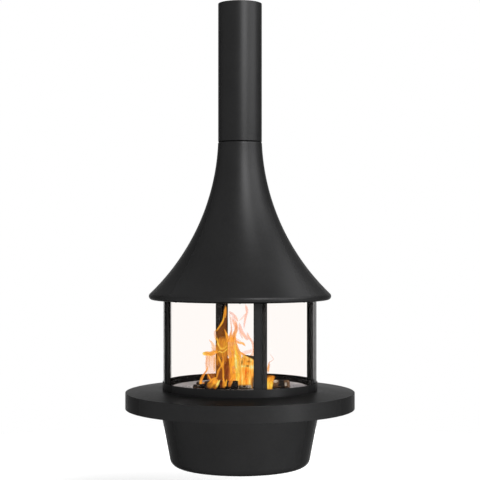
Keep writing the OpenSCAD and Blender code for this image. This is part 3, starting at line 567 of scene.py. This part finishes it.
def spot(x, y, cx, cy, rx, ry):
    """1 at (cx, cy), fading out round it."""
    return math.exp(-((x - cx) / rx) ** 2 - ((y - cy) / ry) ** 2)


def wobble(*p):
    return noise.fractal(Vector(p), 1.0, 2.0, 3)


class Bundle:
    """Several closed shapes of one mesh, with their attributes."""

    def __init__(self, *keys):
        self.verts, self.faces, self.attrs = [], [], {k: [] for k in keys}

    def tube(self, rings):
        """Rings of (point, attributes), each ring as long as the next, closed by a point at both ends."""
        base, k = len(self.verts), len(rings[0])
        for ring in [[mean_row(rings[0])]] + rings + [[mean_row(rings[-1])]]:
            for point, values in ring:
                self.verts.append(point)
                for key, value in zip(self.attrs, values):
                    self.attrs[key].append(value)

        def at(i, j):
            return base + 1 + i * k + j % k

        end = len(rings) - 1
        last = at(end + 1, 0)
        for j in range(k):
            self.faces.append((base, at(0, j + 1), at(0, j)))
            self.faces.append((last, at(end, j), at(end, j + 1)))
            for i in range(end):
                self.faces.append((at(i, j), at(i, j + 1), at(i + 1, j + 1), at(i + 1, j)))

    def piece(self, name, slot, **kw):
        mesh_piece(name, self.verts, self.faces, slot, body="fire_load", attrs=self.attrs, sharp=70, **kw)


def mean_row(ring):
    """A ring's middle, and the mean of its attributes."""
    n = len(ring)
    mid = Vector((0, 0, 0))
    for point, _ in ring:
        mid += point / n
    values = []
    for column in zip(*(v for _, v in ring)):
        values.append([sum(c) / n for c in zip(*column)] if hasattr(column[0], "__len__") else sum(column) / n)
    return mid, values


SEAT, SWELL = 0.3, 1.02  # a log's clearance from what it rests on, and what its unevenness adds to its radius
CAP = (0.3, 0.6, 0.85)  # the radii of the rings of a broken end, as shares of the log's


def lying(x, y, az):
    """The place of a log that lies on the ash with its middle at x, y."""
    def place(r, length):
        d = Vector((math.cos(math.radians(az)), math.sin(math.radians(az)), 0))
        return Vector((x, y, Z_ASH + SEAT + r * SWELL)) - d * length / 2, d
    return place


def standing(x, y, z, az, tilt):
    """The place of a log that stands at x, y, z and leans towards az."""
    def place(r, length):
        a, t = math.radians(az), math.radians(tilt)
        d = Vector((math.sin(t) * math.cos(a), math.sin(t) * math.sin(a), math.cos(t)))
        return Vector((x, y, z + SEAT + r * SWELL * math.sin(t))), d
    return place


def log(name, node, place, r, length, split, seed, look, rough, stations=46, around=56):
    """A log: an uneven section with split faces of (angle, distance), cracks and broken ends."""
    foot, along = place(r, length)
    along = along.normalized()
    side = along.cross(Vector((0, 0, 1)) if abs(along[2]) < 0.9 else Vector((0, 1, 0))).normalized()
    up = side.cross(along)
    b = Bundle(*WOOD_KEYS)
    rings = []
    body = [(i / (stations - 1), 1) for i in range(stations)]
    for t, shrink in [(0, f) for f in CAP] + body + [(1, f) for f in reversed(CAP)]:
        ring = []
        for j in range(around):
            a = 2 * math.pi * j / around
            c, s = math.cos(a), math.sin(a)
            rad = r
            for face_a, depth in split:
                d = math.cos(a - face_a)
                if d > 0.01:
                    rad = min(rad, r * depth / d)
            n1 = wobble(c * 1.3 + seed, s * 1.3, t * 2.2)
            n2 = noise.noise(Vector((c * 7 + seed, s * 7, t * 4)))
            n3 = noise.noise(Vector((c * 16, s * 16 + seed, t * length / 16)))
            rad *= 1 + rough * (1.1 * n1 + 0.7 * n2) + 0.022 * n3
            end = max(0, 1 - min(t, 1 - t) * length / 3.0)
            rad *= 1 - 0.06 * end * end
            x = t * length
            if shrink < 1 or t in (0, 1):
                chip = noise.noise(Vector((c * shrink * 2.5, s * shrink * 2.5, seed + t)))
                x += (0.9 * n2 + 0.6 * n3 + 2.4 * chip) * (1 if t else -1)
            rad *= shrink
            p = foot + along * x + (side * c + up * s) * rad
            cut = 1.0 if shrink < 1 else end * 0.6
            ring.append((p, [(x * MM, rad * c * MM, rad * s * MM), cut] + look(p, t, s, n1, n2, cut)))
        rings.append(ring)
    b.tube(rings)
    b.piece(name, SLOTS[node], replaces=[node])


# A look gives burn, pale, glow and warmth at a point of a log, from the point, how far along it is, how far up its
# section, two noises and how far it is a broken end. Places are pixels of the camera's frame.
# The glow is partly embers and partly painted firelight.


def charred_look(p, t, s, n1, n2, cut):
    px = seen_at(p)[0]
    under = step(-s, 0.2, 0.9)
    glow = 0.55 * step(n2, 0.25, 0.6) * step(s, -0.2, 0.6) * (1 - step(px, 224, 232))
    ashen = 0.2 * step(211 - px, 0, 6) * step(n1, -0.2, 0.3)
    return [0.95 - 0.3 * step(211 - px, 0, 8), ashen, glow * (1 - under), 0.3]


def left_look(p, t, s, n1, n2, cut):
    px, py = seen_at(p)
    return [0.35 + 0.6 * step(px, 199.5, 201.5), 0.5 * spot(px, py, 198.6, 385.6, 2.4, 0.9), 0.0, 0.0]


def right_look(p, t, s, n1, n2, cut):
    px, py = seen_at(p)
    px, py = px + 0.9 * n1, py + 0.7 * n2
    dark = spot(px, py, 281.0, 381.6, 1.9, 2.2) + spot(px, py, 282.9, 385.2, 1.5, 2.4)
    dark += 0.5 * spot(px, py, 279.6, 384.8, 1.3, 2.2) + 0.4 * step(py, 386.5, 388.5)
    white = 1.1 * spot(px, py, 275.4, 381.5, 2.6, 1.4) + 1.1 * spot(px, py, 285.8, 383.8, 1.4, 1.9)
    glow = 0.25 * step(n2, 0.4, 0.6) * step(-t, -0.3, 0)
    return [min(1, 1.15 * dark + 0.3 * step(n2, 0.1, 0.5)), min(1, white), glow, 0.3]


def back_look(p, t, s, n1, n2, cut):
    return [0.92, 0.1 * step(n1, 0.1, 0.4), 0.22 + 0.5 * step(n2, 0.15, 0.5), 0.12 + 0.2 * step(n1, 0.0, 0.4)]


def upright_look(p, t, s, n1, n2, cut):
    px, py = seen_at(p)
    front = step(-p[1], 150, 175)
    rim = 355.0 + max(0, px - 245) * 0.5
    top = (1 - step(py - rim, -0.4, 1.2)) * step(px, 243.5, 245.5)
    holes = 1.1 * spot(px, py, 241.2, 362.0, 1.5, 2.6) + spot(px, py, 247.6, 366.0, 1.5, 0.9)
    holes += 0.55 * spot(px, py, 248.6, 361.6, 2.2, 0.9)
    holes += 0.5 * spot(px, py, 242.6, 357.2 + (px - 242.6) * 1.1, 2.0, 0.7)
    lean = max(0, 382 - py) * 0.12
    right = step(px, 250.6 + lean, 252.2 + lean) * step(py, 374, 379)
    ashen = step(py, 383.6, 386.2) * (1 - right)
    streak = noise.noise(Vector((px * 0.8, py * 0.07, 3)))
    heat = 0.56 + 0.22 * streak + 0.3 * spot(px, py, 243, 366.3, 4.5, 1.0) + 0.4 * spot(px, py, 251.6, 367.2, 3, 2.2)
    heat += 0.34 * spot(px, py, 249.8 + max(0, py - 382) * 0.15, 383, 0.9, 8) + 0.16 * spot(px, py, 242, 377, 0.9, 5)
    heat -= 0.16 * spot(px, py, 246.4, 371.5, 2.8, 4.0) + 0.14 * spot(px, py, 246.6, 380, 1.6, 4)
    heat += 0.16 * spot(px, py, 248.5, 358.5 + (px - 248.5) * 0.5, 6, 1.3)
    glow = (1 - ashen) * (1 - 0.93 * min(1, holes)) * (1 - 0.97 * top) * (1 - 0.75 * right)
    # the front of the upright log glows as embers and as painted firelight; its back glows in patches
    glow = glow * front + (1 - front) * 0.8 * step(n2, -0.1, 0.3) * (1 - (cut if t > 0.5 else 0))
    black = spot(px, py, 244, 386.2, 1.9, 1.2) + spot(px, py, 247, 388.5, 0.9, 0.9)
    burn = min(1, 0.5 + 0.45 * min(1, holes + black) + 0.4 * top)
    return [burn, ashen * (1 - min(1, black)), glow, max(0.02, heat)]


BACK_AT, UPRIGHT_AT = (-74, -40), (32, -170)  # the feet of the standing logs
log("charred_log", "log_charred", lying(-105, -195, 4), 23, 185, [], 2.0, charred_look, 0.09)
log("left_log", "log_left", lying(-205, -140, 25), 12, 120, [(2.4, 0.62)], 5.0, left_look, 0.08, 36, 40)
log("right_log", "log_right", lying(182, -160, -15), 26, 190, [(2.0, 0.72), (0.2, 0.86)], 9.0, right_look, 0.05)
log("back_log", "log_back", standing(*BACK_AT, Z_HEARTH, 60, 6), 22, 160, [(4.6, 0.7)], 14.0, back_look, 0.08)
log("upright_log", "log_upright", standing(*UPRIGHT_AT, Z_ASH, 30, 8), 40, 180, [(3.4, 0.88)], 21.0, upright_look,
    0.045, 64, 80)


def ash_relief():
    """The bed of ash on its ring: low drifts, thin at both rims."""
    r_in, r_out, low = 142.0, 262.0, Z_HEARTH + 0.1
    n_r, n_a = 26, 260
    k = n_r + 3
    verts, faces = [], []
    for j in range(n_a):
        a = 2 * math.pi * j / n_a
        c, s = math.cos(a), math.sin(a)
        edge = r_out - 9 + 8 * wobble(c * 2.6, s * 2.6, 4)
        row = [(r_in, low)]
        for i in range(n_r + 1):
            t = i / n_r
            r = r_in + 0.5 + (edge - r_in - 0.5) * t
            rim = step(t, 0, 0.05) * step(1 - t, 0, 0.16)
            h = 5.0 + 3.6 * wobble(c * r / 26, s * r / 26, 1) + 1.4 * noise.noise(Vector((c * r / 7, s * r / 7, 2)))
            row.append((r, low + 0.25 + max(0.2, h) * rim))
        row.append((row[-1][0], low))
        verts += [(r * c, r * s, z) for r, z in row]
        t = (j + 1) % n_a
        for i in range(k):
            q = (i + 1) % k
            faces.append((j * k + i, j * k + q, t * k + q, t * k + i))
    mesh_piece("ash_relief", verts, faces, "ash", body="fire_load", replaces=["ash_bed"], sharp=70)


WELL = (125, 150)  # the radii kept clear for the wall of the ash well


def coals():
    """Lumps of charcoal in the ash and on the grate, clear of the ash well's wall and of the standing logs."""
    rows, around = 7, 11
    b = Bundle(*WOOD_KEYS)
    for n in range(110):
        u = [0.5 + 0.5 * noise.cell(Vector((n * 1.37, k * 3.1, 7.7))) for k in range(6)]
        a = 6.283 * u[0]
        r = 30 + 222 * math.sqrt(u[1])
        size = 3.5 + 7.5 * u[2] * u[3]
        x, y = r * math.cos(a), r * math.sin(a)
        base = Z_ASH + 3.0 if r > WELL[1] else Z_HEARTH
        if WELL[0] < r < WELL[1] or math.dist((x, y), UPRIGHT_AT) < 46 or math.dist((x, y), BACK_AT) < 30:
            continue
        glow_and_firelight = 1.0 if u[5] > 0.55 and r < 235 else 0.0
        rings = []
        for i in range(rows):
            v = math.pi * (i + 0.5) / rows
            ring = []
            for j in range(around):
                w = 2 * math.pi * j / around
                q = Vector((math.sin(v) * math.cos(w) * 1.25, math.sin(v) * math.sin(w), math.cos(v) * 0.8))
                q *= 1 + 0.35 * noise.noise(q * 1.6 + Vector((n * 5.1, 0, 0)))
                p = Vector((x, y, base + size * 0.62)) + Matrix.Rotation(u[4] * 6.28, 3, "Z") @ q * size
                p[2] = max(p[2], base - 1)
                grain = tuple(q * 0.02 + Vector((n * 0.03, 0, 0)))
                # the upper sides of the glowing coals take the glow, partly embers and partly painted firelight
                glow = glow_and_firelight * 0.8 * step(q[2], -0.9, 0.1)
                ring.append((p, [grain, 0.3, 0.95, 0.35 * u[3], glow, 0.25 + 0.25 * u[2]]))
            rings.append(ring)
        b.tube(rings[::-1])
    b.piece("coals", "charred_wood")


ash_relief()
coals()


def flame_look():
    """Light from a thin sheet of flame: its own attributes give how dense, how hot and how bright it is."""
    m = Mat("flame")
    at = m.attr("flow", "Vector")
    streak = m.noise(1.0, 3, 0.6, at=m.stretch(9, 170, 60, at), distort=0.5)
    cloud = m.noise(1.0, 4, 0.6, at=m.stretch(24, 70, 40, at), distort=0.6)
    both = m.weigh(streak, 0.55, cloud, 0.45)
    heat = m.math("ADD", m.attr("warmth"), m.span(both, -0.24, 0.24, 0.34, 0.66))
    colour = m.ramp(heat, (0.0, (1.0, 0.20, 0.09)), (0.2, (1.0, 0.27, 0.05)), (0.45, (1.0, 0.38, 0.035)),
                    (0.65, (1.0, 0.52, 0.05)), (0.85, (1.0, 0.78, 0.14)), (1.0, (1.0, 0.94, 0.45)))
    dense = m.math("MULTIPLY", m.attr("dense"), m.span(both, 0.8, 1.25, 0.36, 0.62))
    power = m.math("MULTIPLY", m.attr("power"), m.span(cloud, 0.72, 1.1, 0.36, 0.62))
    m.surface(Base_Color=(0, 0, 0, 1), Roughness=1.0, Specular_IOR_Level=0.0, Emission_Color=colour,
              Emission_Strength=power, Alpha=m.math("MINIMUM", dense, 0.98))
    return m.m


FLAME = flame_look()
AROUND = 20  # points round a flame


def tongue(b, depth, path, flat=0.5, ripple=0.10, power=1.0, soft=0.75):
    """A tongue of flame along (frame x, frame y, half width, density, heat) from its foot to its tip."""
    n = max(10, 7 * (len(path) - 1))
    pts = smooth(path, n)
    k = (EYE_FAR + depth) / FOCAL
    line = [sight(p[0], p[1], depth) for p in pts]
    seed = path[0][0] * 1.7 + path[0][1] * 0.9
    rings, run = [], 0.0
    for i, p in enumerate(pts):
        ahead = line[min(i + 1, n)] - line[max(i - 1, 0)]
        ahead.normalize()
        side = Vector((0, 1, 0)).cross(ahead)
        side.normalize()
        front = ahead.cross(side)
        run += (line[i] - line[i - 1]).length if i else 0
        w = max(0.15, p[2]) * k
        whole = max(0.0, min(1.0, p[3])) * step(i / n, 0, 0.12) * step(1 - i / n, 0, 0.2)
        whole = 1 - math.sqrt(1 - whole)  # the eye looks through its two sides
        ring = []
        for j in range(AROUND):
            a = 2 * math.pi * j / AROUND
            c, s = math.cos(a), math.sin(a)
            edge = 1 + ripple * abs(c) * wobble(run / 26, 3.0 if c > 0 else -3.0, seed) * 2
            q = line[i] + side * (w * c * edge) + front * (w * flat * s)
            dense = whole * (1 - soft * step(abs(c), 0.45, 1.0))
            ring.append((q, [(run * MM, w * c * MM + seed, w * flat * s * MM), dense, max(0, p[4]), power]))
        rings.append(ring)
    b.tube(rings)


def flames(name, *tongues):
    """A group of tongues, each of a depth behind the axis, a path, and a dict where it differs from the usual."""
    b = Bundle("flow", "dense", "warmth", "power")
    for depth, path, *own in tongues:
        tongue(b, depth, path, **(own[0] if own else {}))
    b.piece(name, "charred_wood", mats=(FLAME,))


def even(points, dense, heat):
    """A path whose density and heat are the same from foot to tip."""
    return [(*p, dense, heat) for p in points]


DIM = dict(power=0.22)
BROWN = dict(power=0.62)
PALE = dict(power=1.14)

# the tall flame over the back log
flames(
    "flame_tall",
    (-20, [(222, 350, 5.0, .2, .3), (222, 342, 6.2, .3, .3), (221.8, 335, 6.2, .4, .3), (222.3, 328, 4.6, .38, .25),
           (224.6, 321, 2.6, .36, .25), (225.6, 313, 1.7, .36, .3),
           (225.6, 305, .4, .3, .35)], dict(power=0.45, soft=0.4)),
    (-34, even([(215.8, 332, .5), (218.5, 328, .9), (221.4, 324, 1.0), (223.2, 320, .9), (224.1, 315, .9),
                (225, 310, 1.0), (225.5, 304.6, .4)], .85, .5)),
    (-36, even([(225.3, 318, .5), (225.8, 312, .9), (225.9, 306, .5)], .7, .42)),
    (-30, even([(216.6, 341, 1.2), (215.4, 336, 1.5), (214.9, 332, 1.0), (216.3, 328.6, .3)], .5, .42)),
    (-36, even([(228.2, 343, 2.2), (227.4, 337.5, 2.0), (225.9, 333, 1.0), (224, 328.2, .3)], .85, .45)),
    (-32, [(222, 358, 4.0, .3, .4), (222, 352, 6.0, .6, .4), (222.2, 346, 6.2, .78, .42), (222.6, 341, 5.6, .75, .4),
           (223.4, 335.5, 3.0, .4, .35)], dict(power=0.85, soft=0.4)),
    (-44, even([(217.0, 337, .5), (217.6, 341.5, .9), (218.9, 345.5, 1.0), (221, 348.4, 1.1), (224, 348.2, 1.2),
                (228.6, 345, .8)], .85, .68)),
    (-46, even([(217.4, 352.8, .3), (219.6, 351.4, .6), (222.2, 352.6, .6), (225.4, 350.6, .6),
                (228.4, 347.6, .4)], .85, .72)),
    (-42, even([(216.6, 379, 1.0), (218.4, 371.5, 1.3), (221.4, 366.8, 1.3), (223.2, 362, 1.0), (222.8, 357.5, .8),
                (221.5, 352, .4)], .82, .45)),
    (-48, even([(222.0, 369, .8), (221.1, 364, 1.0), (219.4, 359.4, 1.0), (218.2, 355, .5)], .75, .5)),
    (-50, even([(223.4, 381, 1.1), (223.4, 373, 1.1), (222.9, 366, 1.0), (223.3, 358, .8),
                (222.2, 351.5, .4)], .75, .42)),
    (-38, even([(217.2, 366, .8), (217.6, 359, 1.0), (217.4, 353, .5)], .7, .36), BROWN),
    (-40, even([(225.6, 362, 1.4), (225.8, 355, 1.7), (226, 349.5, .8)], .8, .32), BROWN),
    (-28, [(221.5, 384, 4.0, .5, .3), (221.6, 376, 4.8, .5, .3), (222, 368, 5.4, .5, .3), (222.2, 360, 5.8, .62, .34),
           (222.2, 352, 5.0, .6, .38)], dict(power=0.5, soft=0.3)))

# the dull red glow in front of the back log
flames(
    "flame_dull",
    (-64, even([(219.4, 385, 2.4), (219.8, 378, 2.6), (220.6, 371, 1.6), (221.6, 366, .4)], .7, .1), DIM),
    (-66, even([(226.6, 384, 2.8), (226.8, 375, 3.0), (227.6, 366, 2.4), (228, 359, .6)], .8, .12), DIM),
    (-68, even([(229.6, 384, 1.4), (229.2, 376, 1.8), (228.6, 369, 1.2), (227.6, 364, .3)], .7, .2), BROWN),
    (-60, even([(212, 385, 2.6), (212, 380.5, 3.8), (211.6, 377, 3.2), (211.2, 375, 1.0)], .5, .1), DIM))

# the lobe that licks to the left
flames(
    "flame_left",
    (-90, [(218.4, 351, 1.6, .85, .45), (214, 352.6, 2.3, .92, .46), (210, 353.6, 2.2, .94, .48),
           (206, 353.6, 2.1, .95, .54), (203.5, 353.8, 1.5, .95, .74),
           (202.2, 354.2, .5, .9, .8)], dict(flat=0.7, soft=0.3)),
    (-86, [(215, 354, 3.4, .65, .42), (214.2, 348.5, 3.2, .6, .38), (213, 345, 1.9, .52, .34),
           (211.3, 342, 1.1, .5, .3), (209.8, 340.6, .7, .5, .28), (209.2, 338.6, .3, .45, .25)]),
    (-80, [(211.6, 381, 3.6, .2, .2), (211.4, 376, 4.4, .28, .26), (211, 369, 5.6, .38, .36),
           (210.8, 362, 5.6, .48, .38), (210.8, 356, 5.2, .58, .4),
           (211, 352.5, 3.5, .4, .36)], dict(ripple=0.05, soft=0.25)),
    (-96, even([(206.4, 371, .6), (206.6, 363, .9), (207.2, 354.5, .8)], .45, .3)),
    (-98, even([(214.6, 372, .8), (214.4, 364, 1.3), (214.8, 355.5, 1.0)], .5, .4)),
    (-94, even([(209.4, 367, .5), (209.2, 361, .8), (209.8, 355.5, .6)], .35, .36)),
    (-100, even([(200.6, 387, 1.4), (200.9, 381.5, 1.5), (202.2, 377.5, 1.4), (204.8, 373.2, 1.1), (207, 369.6, .9),
                 (208.6, 363.5, .4)], .9, .42)),
    (-104, even([(211.2, 380.5, .9), (209.2, 377, .8), (207.6, 373.4, .5)], .85, .42)))

# low flames off the charred log
flames(
    "flame_low",
    (-224, [(208, 388.6, 2.2, .12, .3), (209.5, 385.6, 3.0, .62, .42), (212, 382.4, 3.2, .86, .38),
            (214.6, 379.6, 2.4, .9, .4), (216.6, 377.4, .8, .8, .45), (217.6, 376, .3, .6, .4)]),
    (-226, [(213.5, 389, 2.4, .1, .3), (215.2, 385.6, 2.8, .6, .38), (216.4, 382, 2.0, .92, .46),
            (217.8, 378.4, .6, .8, .4)]),
    (-230, [(216.2, 387.4, 1.2, .3, .7), (217.2, 384.6, 1.4, .82, .84), (218.6, 382, 1.1, .95, .84),
            (220, 379.6, .4, .85, .7)]),
    (-222, even([(221.2, 388, 1.2), (221.2, 384, 1.2), (220.4, 380.6, .4)], .6, .1), DIM),
    (-225, [(223.6, 388.4, 1.6, .12, .3), (224, 384.6, 1.9, .66, .4), (223.6, 380, 1.1, .85, .42),
            (223.2, 376.4, .4, .7, .4)]),
    (-228, even([(225.4, 386.6, .9), (226, 382.6, 1.0), (226.9, 379.2, .5)], .9, .55)),
    (-222, [(229, 387.4, 1.6, .12, .3), (230.2, 383.4, 2.0, .62, .33), (231.6, 379.5, 1.6, .8, .38),
            (232.4, 376, .5, .7, .4)]))

# the broad flame up the upright log's left side
flames(
    "flame_mass",
    (-60, [(233.4, 386, 3.6, .85, .4), (233.4, 376, 4.2, .92, .42), (233.2, 368, 4.3, .94, .44),
           (233, 360, 4.5, .94, .46), (232.6, 352, 5.0, .94, .48), (232.4, 344, 4.7, .92, .44),
           (232.2, 338, 3.7, .9, .38), (232.6, 332.6, 2.0, .65, .32)], dict(soft=0.3)),
    (-70, [(233.4, 342, 2.8, .9, .42), (234, 335.5, 2.4, .88, .38), (235.6, 331.2, 1.9, .82, .34),
           (236.5, 327.5, 1.5, .74, .3), (236.1, 323.5, 1.0, .62, .26), (234.8, 319.2, .4, .5, .22)]),
    (-66, [(230.4, 342, 2.2, .88, .42), (230.6, 335, 1.6, .84, .38), (231.3, 331, 1.0, .75, .34),
           (231.4, 326.5, .85, .62, .3), (230.7, 321.5, .8, .5, .26), (230, 316.5, .7, .42, .22),
           (229.2, 310.6, .3, .4, .2)]),
    (-84, even([(236.6, 388, .9), (237.0, 378, 1.1), (236.8, 371, 1.3), (236.3, 364, 2.3), (236.4, 357, 2.1),
                (236, 351, 1.4), (235, 345, .8), (234.4, 338, .3)], .96, .8)),
    (-100, even([(236.4, 368, .5), (236.2, 363.6, 1.0), (236.3, 358.5, .5)], .9, 1.0)),
    (-90, [(240.6, 388, 2.4, .95, .55), (240.2, 378, 3.0, .95, .58), (239.8, 368, 3.4, .96, .66),
           (239.4, 360, 3.2, .95, .6), (238.4, 353.5, 2.2, .94, .56), (236.8, 347, 1.6, .9, .5),
           (235.6, 341, .7, .85, .44)], dict(soft=0.3)),
    (-92, even([(238.2, 350.2, .4), (240.6, 352.4, .9), (243.2, 354.4, 1.2), (246, 356, 1.2),
                (248.4, 357, .5)], .92, .44)),
    (-58, even([(229.1, 356, .4), (228.9, 350, .8), (228.9, 345.5, .4)], .6, .1), dict(power=1.2)))

# thin wisps round the top
flames(
    "flame_wisps",
    (30, even([(243.9, 330, .4), (244.7, 322, 1.2), (245.8, 316, 1.5), (247, 312, 1.5), (246.4, 307.6, 1.4),
               (245.2, 303.2, .6)], .5, .12), PALE),
    (40, even([(239, 320.6, .6), (241.6, 318.6, 1.1), (243.6, 316.4, 1.1), (245.2, 313.4, .6)], .26, .05), PALE),
    (20, even([(238.4, 321.6, .6), (236, 318, 1.5), (233.4, 314.8, 1.6), (230.8, 313, 1.5),
               (228.6, 310.8, .5)], .46, .15), PALE),
    (24, even([(236.4, 331, 1.6), (235.8, 325.5, 2.8), (234, 320.5, 3.0), (231.4, 315.5, 1.6)], .3, .12), PALE),
    (28, even([(236, 329, .9), (234.4, 324, 1.4), (232.6, 318.8, .6)], .45, .22), PALE),
    (34, even([(239.2, 322, .5), (240.4, 328, 1.8), (242.4, 332.6, 1.9), (244.8, 336, 1.8), (247.2, 338.8, 1.5),
               (249.2, 338.6, .5)], .56, .2), PALE),
    (38, even([(246.8, 331.6, .4), (248.4, 336.5, 1.4), (250.6, 339.6, 1.4), (252.6, 343, 1.4), (253.6, 349, 1.2),
               (253.9, 357, .8)], .55, .22), PALE),
    (44, even([(238.4, 327, .4), (240, 332.5, 1.1), (241.4, 336, 1.1), (243, 339, .4)], .38, .14), PALE),
    (-72, even([(235, 339.6, 1.1), (238.2, 342.4, 1.4), (240.8, 342.8, 1.5), (242.8, 343.4, 1.3), (244.2, 344.8, 1.0),
                (245.6, 346.8, .3)], .8, .36), PALE),
    (-66, even([(235.2, 338, .4), (238.6, 340, .8), (241.4, 341.4, .4)], .35, .25), PALE),
    (-100, even([(239, 356, .8), (242, 353.8, 1.8), (246, 352.4, 2.2), (250.5, 351.2, 2.2),
                 (254, 349, 1.4)], .34, .2), PALE),
    (-104, even([(249.5, 357, .8), (252, 354.8, 1.6), (253.8, 351.6, 1.4), (254.2, 347, .8)], .5, .36), PALE))

# the flame by the right-hand log
flames(
    "flame_right",
    (-205, [(268.6, 390, 3.4, .8, .5), (269, 386.5, 3.6, .94, .66), (269.2, 383, 3.8, .95, .66),
            (270, 379.8, 4.0, .92, .5), (272.8, 377.6, 2.4, .88, .42), (275.6, 376.8, .6, .8, .36)], dict(soft=0.4)),
    (-210, even([(267.8, 387.5, .6), (267.8, 383.5, 1.0), (267.8, 379, .5)], .9, .86)),
    (-208, even([(266.4, 377.4, 1.0), (269, 376.6, 1.5), (272, 375.8, .8)], .85, .2), dict(power=0.3)),
    (-150, [(268.0, 374, 1.2, .7, .4), (268.2, 369, 1.3, .8, .42), (268.8, 365.5, 1.2, .75, .38),
            (269.4, 362.5, .8, .5, .3), (271.4, 361, .6, .3, .15), (273.4, 359, .6, .28, .1),
            (271.2, 355.8, .6, .26, .1), (268.2, 352, .4, .24, .1)]))

# flames behind the front post and on the far side
flames(
    "flame_back",
    (30, even([(260.5, 390, 4.5), (260.5, 378, 5.0), (260, 366, 4.6), (259.5, 354, 3.4), (261, 344, 2.2),
               (260, 333.6, .4)], .6, .42)),
    (-120, even([(260.5, 390, 4.8), (260.2, 376, 5.0), (260, 364, 4.0), (261.4, 354, 2.6), (260.6, 346, .6)], .7, .46)),
    (112, even([(258.5, 388, 4.0), (259.5, 374, 4.4), (261, 362, 3.0), (259.5, 351.6, .4)], .6, .4)),
    (90, even([(231, 386, 4.0), (231.6, 374, 4.0), (231.5, 364, 3.0), (232.5, 354, 2.0), (231.5, 345.6, .4)], .6, .42)))

# ------------------------ stage


def seen_rays(t):
    """1 for what the camera sees, directly, in a reflection or through glass, and 0 for what lights a matt surface."""
    path = t.node("ShaderNodeLightPath").outputs
    seen = t.math("MAXIMUM", path["Is Camera Ray"], path["Is Glossy Ray"])
    seen = t.math("MAXIMUM", seen, path["Is Transmission Ray"])
    return t.math("MULTIPLY", seen, t.math("LESS_THAN", path["Diffuse Depth"], 0.5))


def stage_floor():
    """A pale round floor whose colour fades to plain white away from the object."""
    m = Mat("floor")
    far = m.node("ShaderNodeMapRange", {"Value": m.plan()[2], "From Min": 1.2, "From Max": 3.6, "To Min": 0.32,
                                        "To Max": 1.0}, interpolation_type="SMOOTHSTEP").outputs["Result"]
    m.surface(Base_Color=m.ramp(m.noise(2.0, 3), (0.3, 0.86), (0.7, 0.88)), Roughness=0.8, Specular_IOR_Level=0.0,
              Emission_Color=(1, 1, 1, 1), Emission_Strength=m.math("MULTIPLY", far, seen_rays(m)))
    n, rad, z = 96, 4.0, -3.0
    turns = (2 * math.pi * k / n for k in range(n))
    me = bpy.data.meshes.new("floor")
    me.from_pydata([(rad * math.cos(a), rad * math.sin(a), z) for a in turns], [], [tuple(range(n))])
    me.materials.append(m.m)
    o = bpy.data.objects.new("floor", me)
    scene.collection.objects.link(o)


def world(ambient):
    """A white background that lights matt surfaces only at the ambient level."""
    w = bpy.data.worlds.new("studio")
    scene.world = w
    w.use_nodes = True
    t = Tree(w.node_tree)
    sky = t.node("ShaderNodeBackground", {"Color": (1, 1, 1, 1), "Strength": t.span(seen_rays(t), ambient, 1.0)})
    t.node("ShaderNodeOutputWorld", {"Surface": sky.outputs[0]})


LAMP_FAR = 5.0  # metres from the axis


def lamp(name, azimuth, z, width, height, power, aim_z=-1.4):
    """A soft box at an azimuth, 0 being the camera's side and positive to the right."""
    d = bpy.data.lights.new(name, "AREA")
    d.shape = "RECTANGLE"
    d.size, d.size_y, d.energy = width, height, power
    o = bpy.data.objects.new(name, d)
    scene.collection.objects.link(o)
    o.visible_transmission = False
    a = math.radians(azimuth)
    o.location = (LAMP_FAR * math.sin(a), -LAMP_FAR * math.cos(a), z)
    o.rotation_euler = (Vector((0, 0, aim_z)) - o.location).to_track_quat("-Z", "Y").to_euler()


stage_floor()
world(0.18)
lamp("key", 23, 1.0, 2.4, 2.2, 190)
lamp("rim", 68, 0.8, 4.0, 2.4, 138)
lamp("low", 50, -1.9, 1.2, 1.0, 40, aim_z=-2.2)
lamp("top", 30, 3.6, 2.0, 2.0, 60, aim_z=-2.2)
lamp("back", 125, 3.4, 3.0, 3.0, 165, aim_z=-1.6)
lamp("rear", 215, 2.8, 2.4, 2.4, 65, aim_z=-1.6)

cam = bpy.data.cameras.new("camera")
cam.lens, cam.sensor_width = LENS, SENSOR
cam_o = bpy.data.objects.new("camera", cam)
scene.collection.objects.link(cam_o)
cam_o.location = (0, -EYE_FAR * MM, EYE_Z * MM)
cam_o.rotation_euler = (math.pi / 2, 0, 0)
scene.camera = cam_o
scene.view_settings.view_transform = "Standard"
